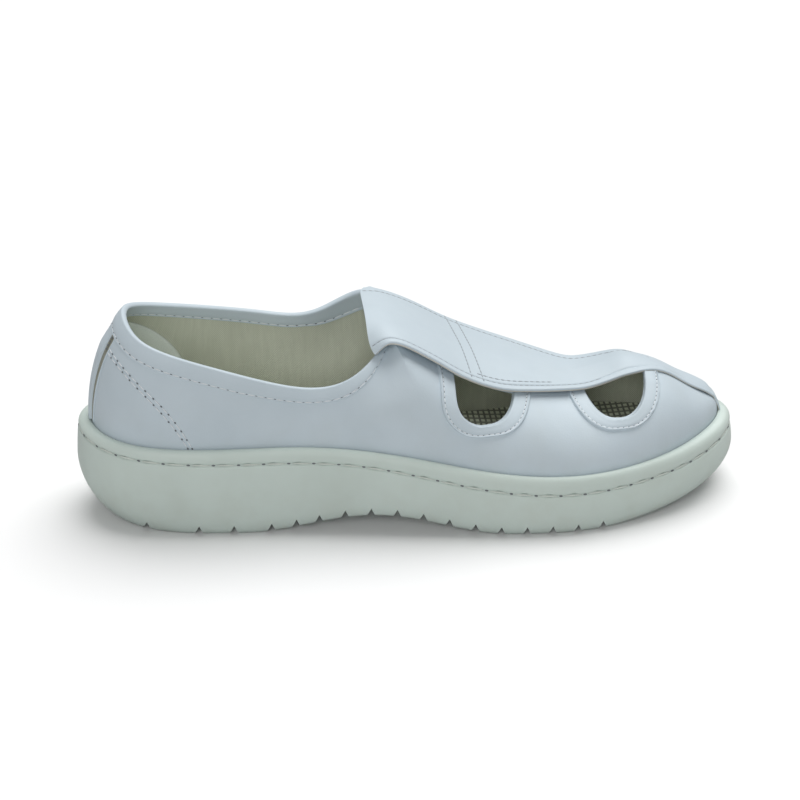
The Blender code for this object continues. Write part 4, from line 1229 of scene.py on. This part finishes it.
# place and share on the wall
COUNTER_SEAMS = (
    ((0.50, 0.735), (0.92, 0.715), (1.34, 0.655), (1.76, 0.555), (2.15, 0.41), (2.45, 0.22), (2.62, 0.05)),
    ((0.50, 0.698), (0.90, 0.680), (1.31, 0.620), (1.71, 0.521), (2.08, 0.38), (2.38, 0.205), (2.55, 0.05)),
)
counter_lines = []
for seam_points in COUNTER_SEAMS:
    curve = Spline(seam_points, closed=False)(np.linspace(0, len(seam_points) - 1, COUNTER_POINTS))
    for sign in (1, -1):
        place, share = sign * curve[:, 0], curve[:, 1]
        counter_lines.append((on_wall(place, share, 0.0001), wall_normal(place, share)))
sew("seam_counter", counter_lines, "leather", THREAD, NEEDLE_HOLE_SHADE, 0.0046, 0.0038, 0.00055, 0.0010, 0.0008)

# %% Stitches in the sole's groove
# inset, share, lift, bead and draft as in the sole's side, and the groove's girth as a share of the widest
IN_GROOVE, GROOVE_GIRTH = (0.0011, 1.0, 0.0, 0.0, 0.14), 0.985
first_stitch = int(np.argmax(phase > 0))
ring_places = np.append(np.roll(sole_places, -first_stitch), sole_places[first_stitch])
ring = sole_side(ring_places, *IN_GROOVE), outward(ring_places)
pitch = girth[-1] / stitch_count * GROOVE_GIRTH
sew("seam_sole", [ring], "sole", SOLE_THREAD, NEEDLE_HOLE_SHADE, pitch, 0.0084, 0.0008, 0.0017, 0.0008)

# %% [markdown]
# ## Floor, light and camera
# The shoe stands on a plain white floor under a wide soft light from above, which comes a little from
# behind and from the toe, with a weaker fill from the front. A white floor would throw much light back on
# the shoe's sides and flatten them, so it is darker to all rays but the camera's. The camera looks at the
# lateral side from a little above, through a long lens.

# %% Stage
FLOOR_CORNERS = (-4, -4, 0), (4, -4, 0), (4, 4, 0), (-4, 4, 0)
# the floor as the camera sees it, in two near tones, and as all other rays do
SEEN_TONES, UNSEEN_TONE = ((0.94, 0.94, 0.94), (0.96, 0.96, 0.96)), (0.60, 0.60, 0.60)
SKY_STRENGTH = 0.17
floor_mesh = bpy.data.meshes.new("floor")
floor_mesh.from_pydata(FLOOR_CORNERS, [], [(0, 1, 2, 3)])
floor_finish, tree, shader = finish("pale_floor", 0.1)
shader.inputs["Roughness"].default_value = 0.9
grain = use_group(tree, grain_group, 300.0, 3.0)
pale = mixed(tree, grain.outputs["Patch"], *SEEN_TONES)
seen = node(tree, "ShaderNodeLightPath").outputs["Is Camera Ray"]
tree.links.new(mixed(tree, seen, UNSEEN_TONE, pale), shader.inputs["Base Color"])
floor_mesh.materials.append(floor_finish)
as_object("floor", floor_mesh)

world = bpy.data.worlds.new("studio")
world.use_nodes = True
sky = world.node_tree.nodes["Background"].inputs
sky["Color"].default_value = (1.0, 1.0, 1.0, 1.0)
sky["Strength"].default_value = SKY_STRENGTH
bpy.context.scene.world = world


def soft_sun(name, energy, width, tilt, turn):
    """Even light: its width in the sky, its tilt from overhead and its turn, in degrees."""
    light = bpy.data.lights.new(name, "SUN")
    light.energy = energy
    light.angle = math.radians(width)
    lamp = bpy.data.objects.new(name, light)
    lamp.rotation_euler = math.radians(tilt), 0, math.radians(turn)
    bpy.context.scene.collection.objects.link(lamp)


soft_sun("overhead", 2.75, 60, -25, -30)
soft_sun("front_fill", 1.0, 30, 62, -14)
bpy.context.scene.view_settings.view_transform = "Standard"

# %% Camera
AZIMUTH, ELEVATION, DISTANCE, LENS = math.radians(-5.5), math.radians(25), 1.5, 155.7
# a point in the shoe, and how far beside and above it the camera aims
LOOK_AT, SHIFT_RIGHT, SHIFT_UP = Vector((0.00075, 0, 0.040)), -0.00412, 0.00325
back = Vector((
    math.sin(AZIMUTH) * math.cos(ELEVATION),
    -math.cos(AZIMUTH) * math.cos(ELEVATION),
    math.sin(ELEVATION),
))
right = Vector((math.cos(AZIMUTH), math.sin(AZIMUTH), 0))
above = back.cross(right)
aim = LOOK_AT + SHIFT_RIGHT * right + SHIFT_UP * above
camera_data = bpy.data.cameras.new("camera")
camera_data.lens = LENS
camera_data.sensor_width = 36
camera = bpy.data.objects.new("camera", camera_data)
camera.location = aim + DISTANCE * back
camera.rotation_mode = "QUATERNION"
camera.rotation_quaternion = (-back).to_track_quat("-Z", "Y")
bpy.context.scene.collection.objects.link(camera)
bpy.context.scene.camera = camera
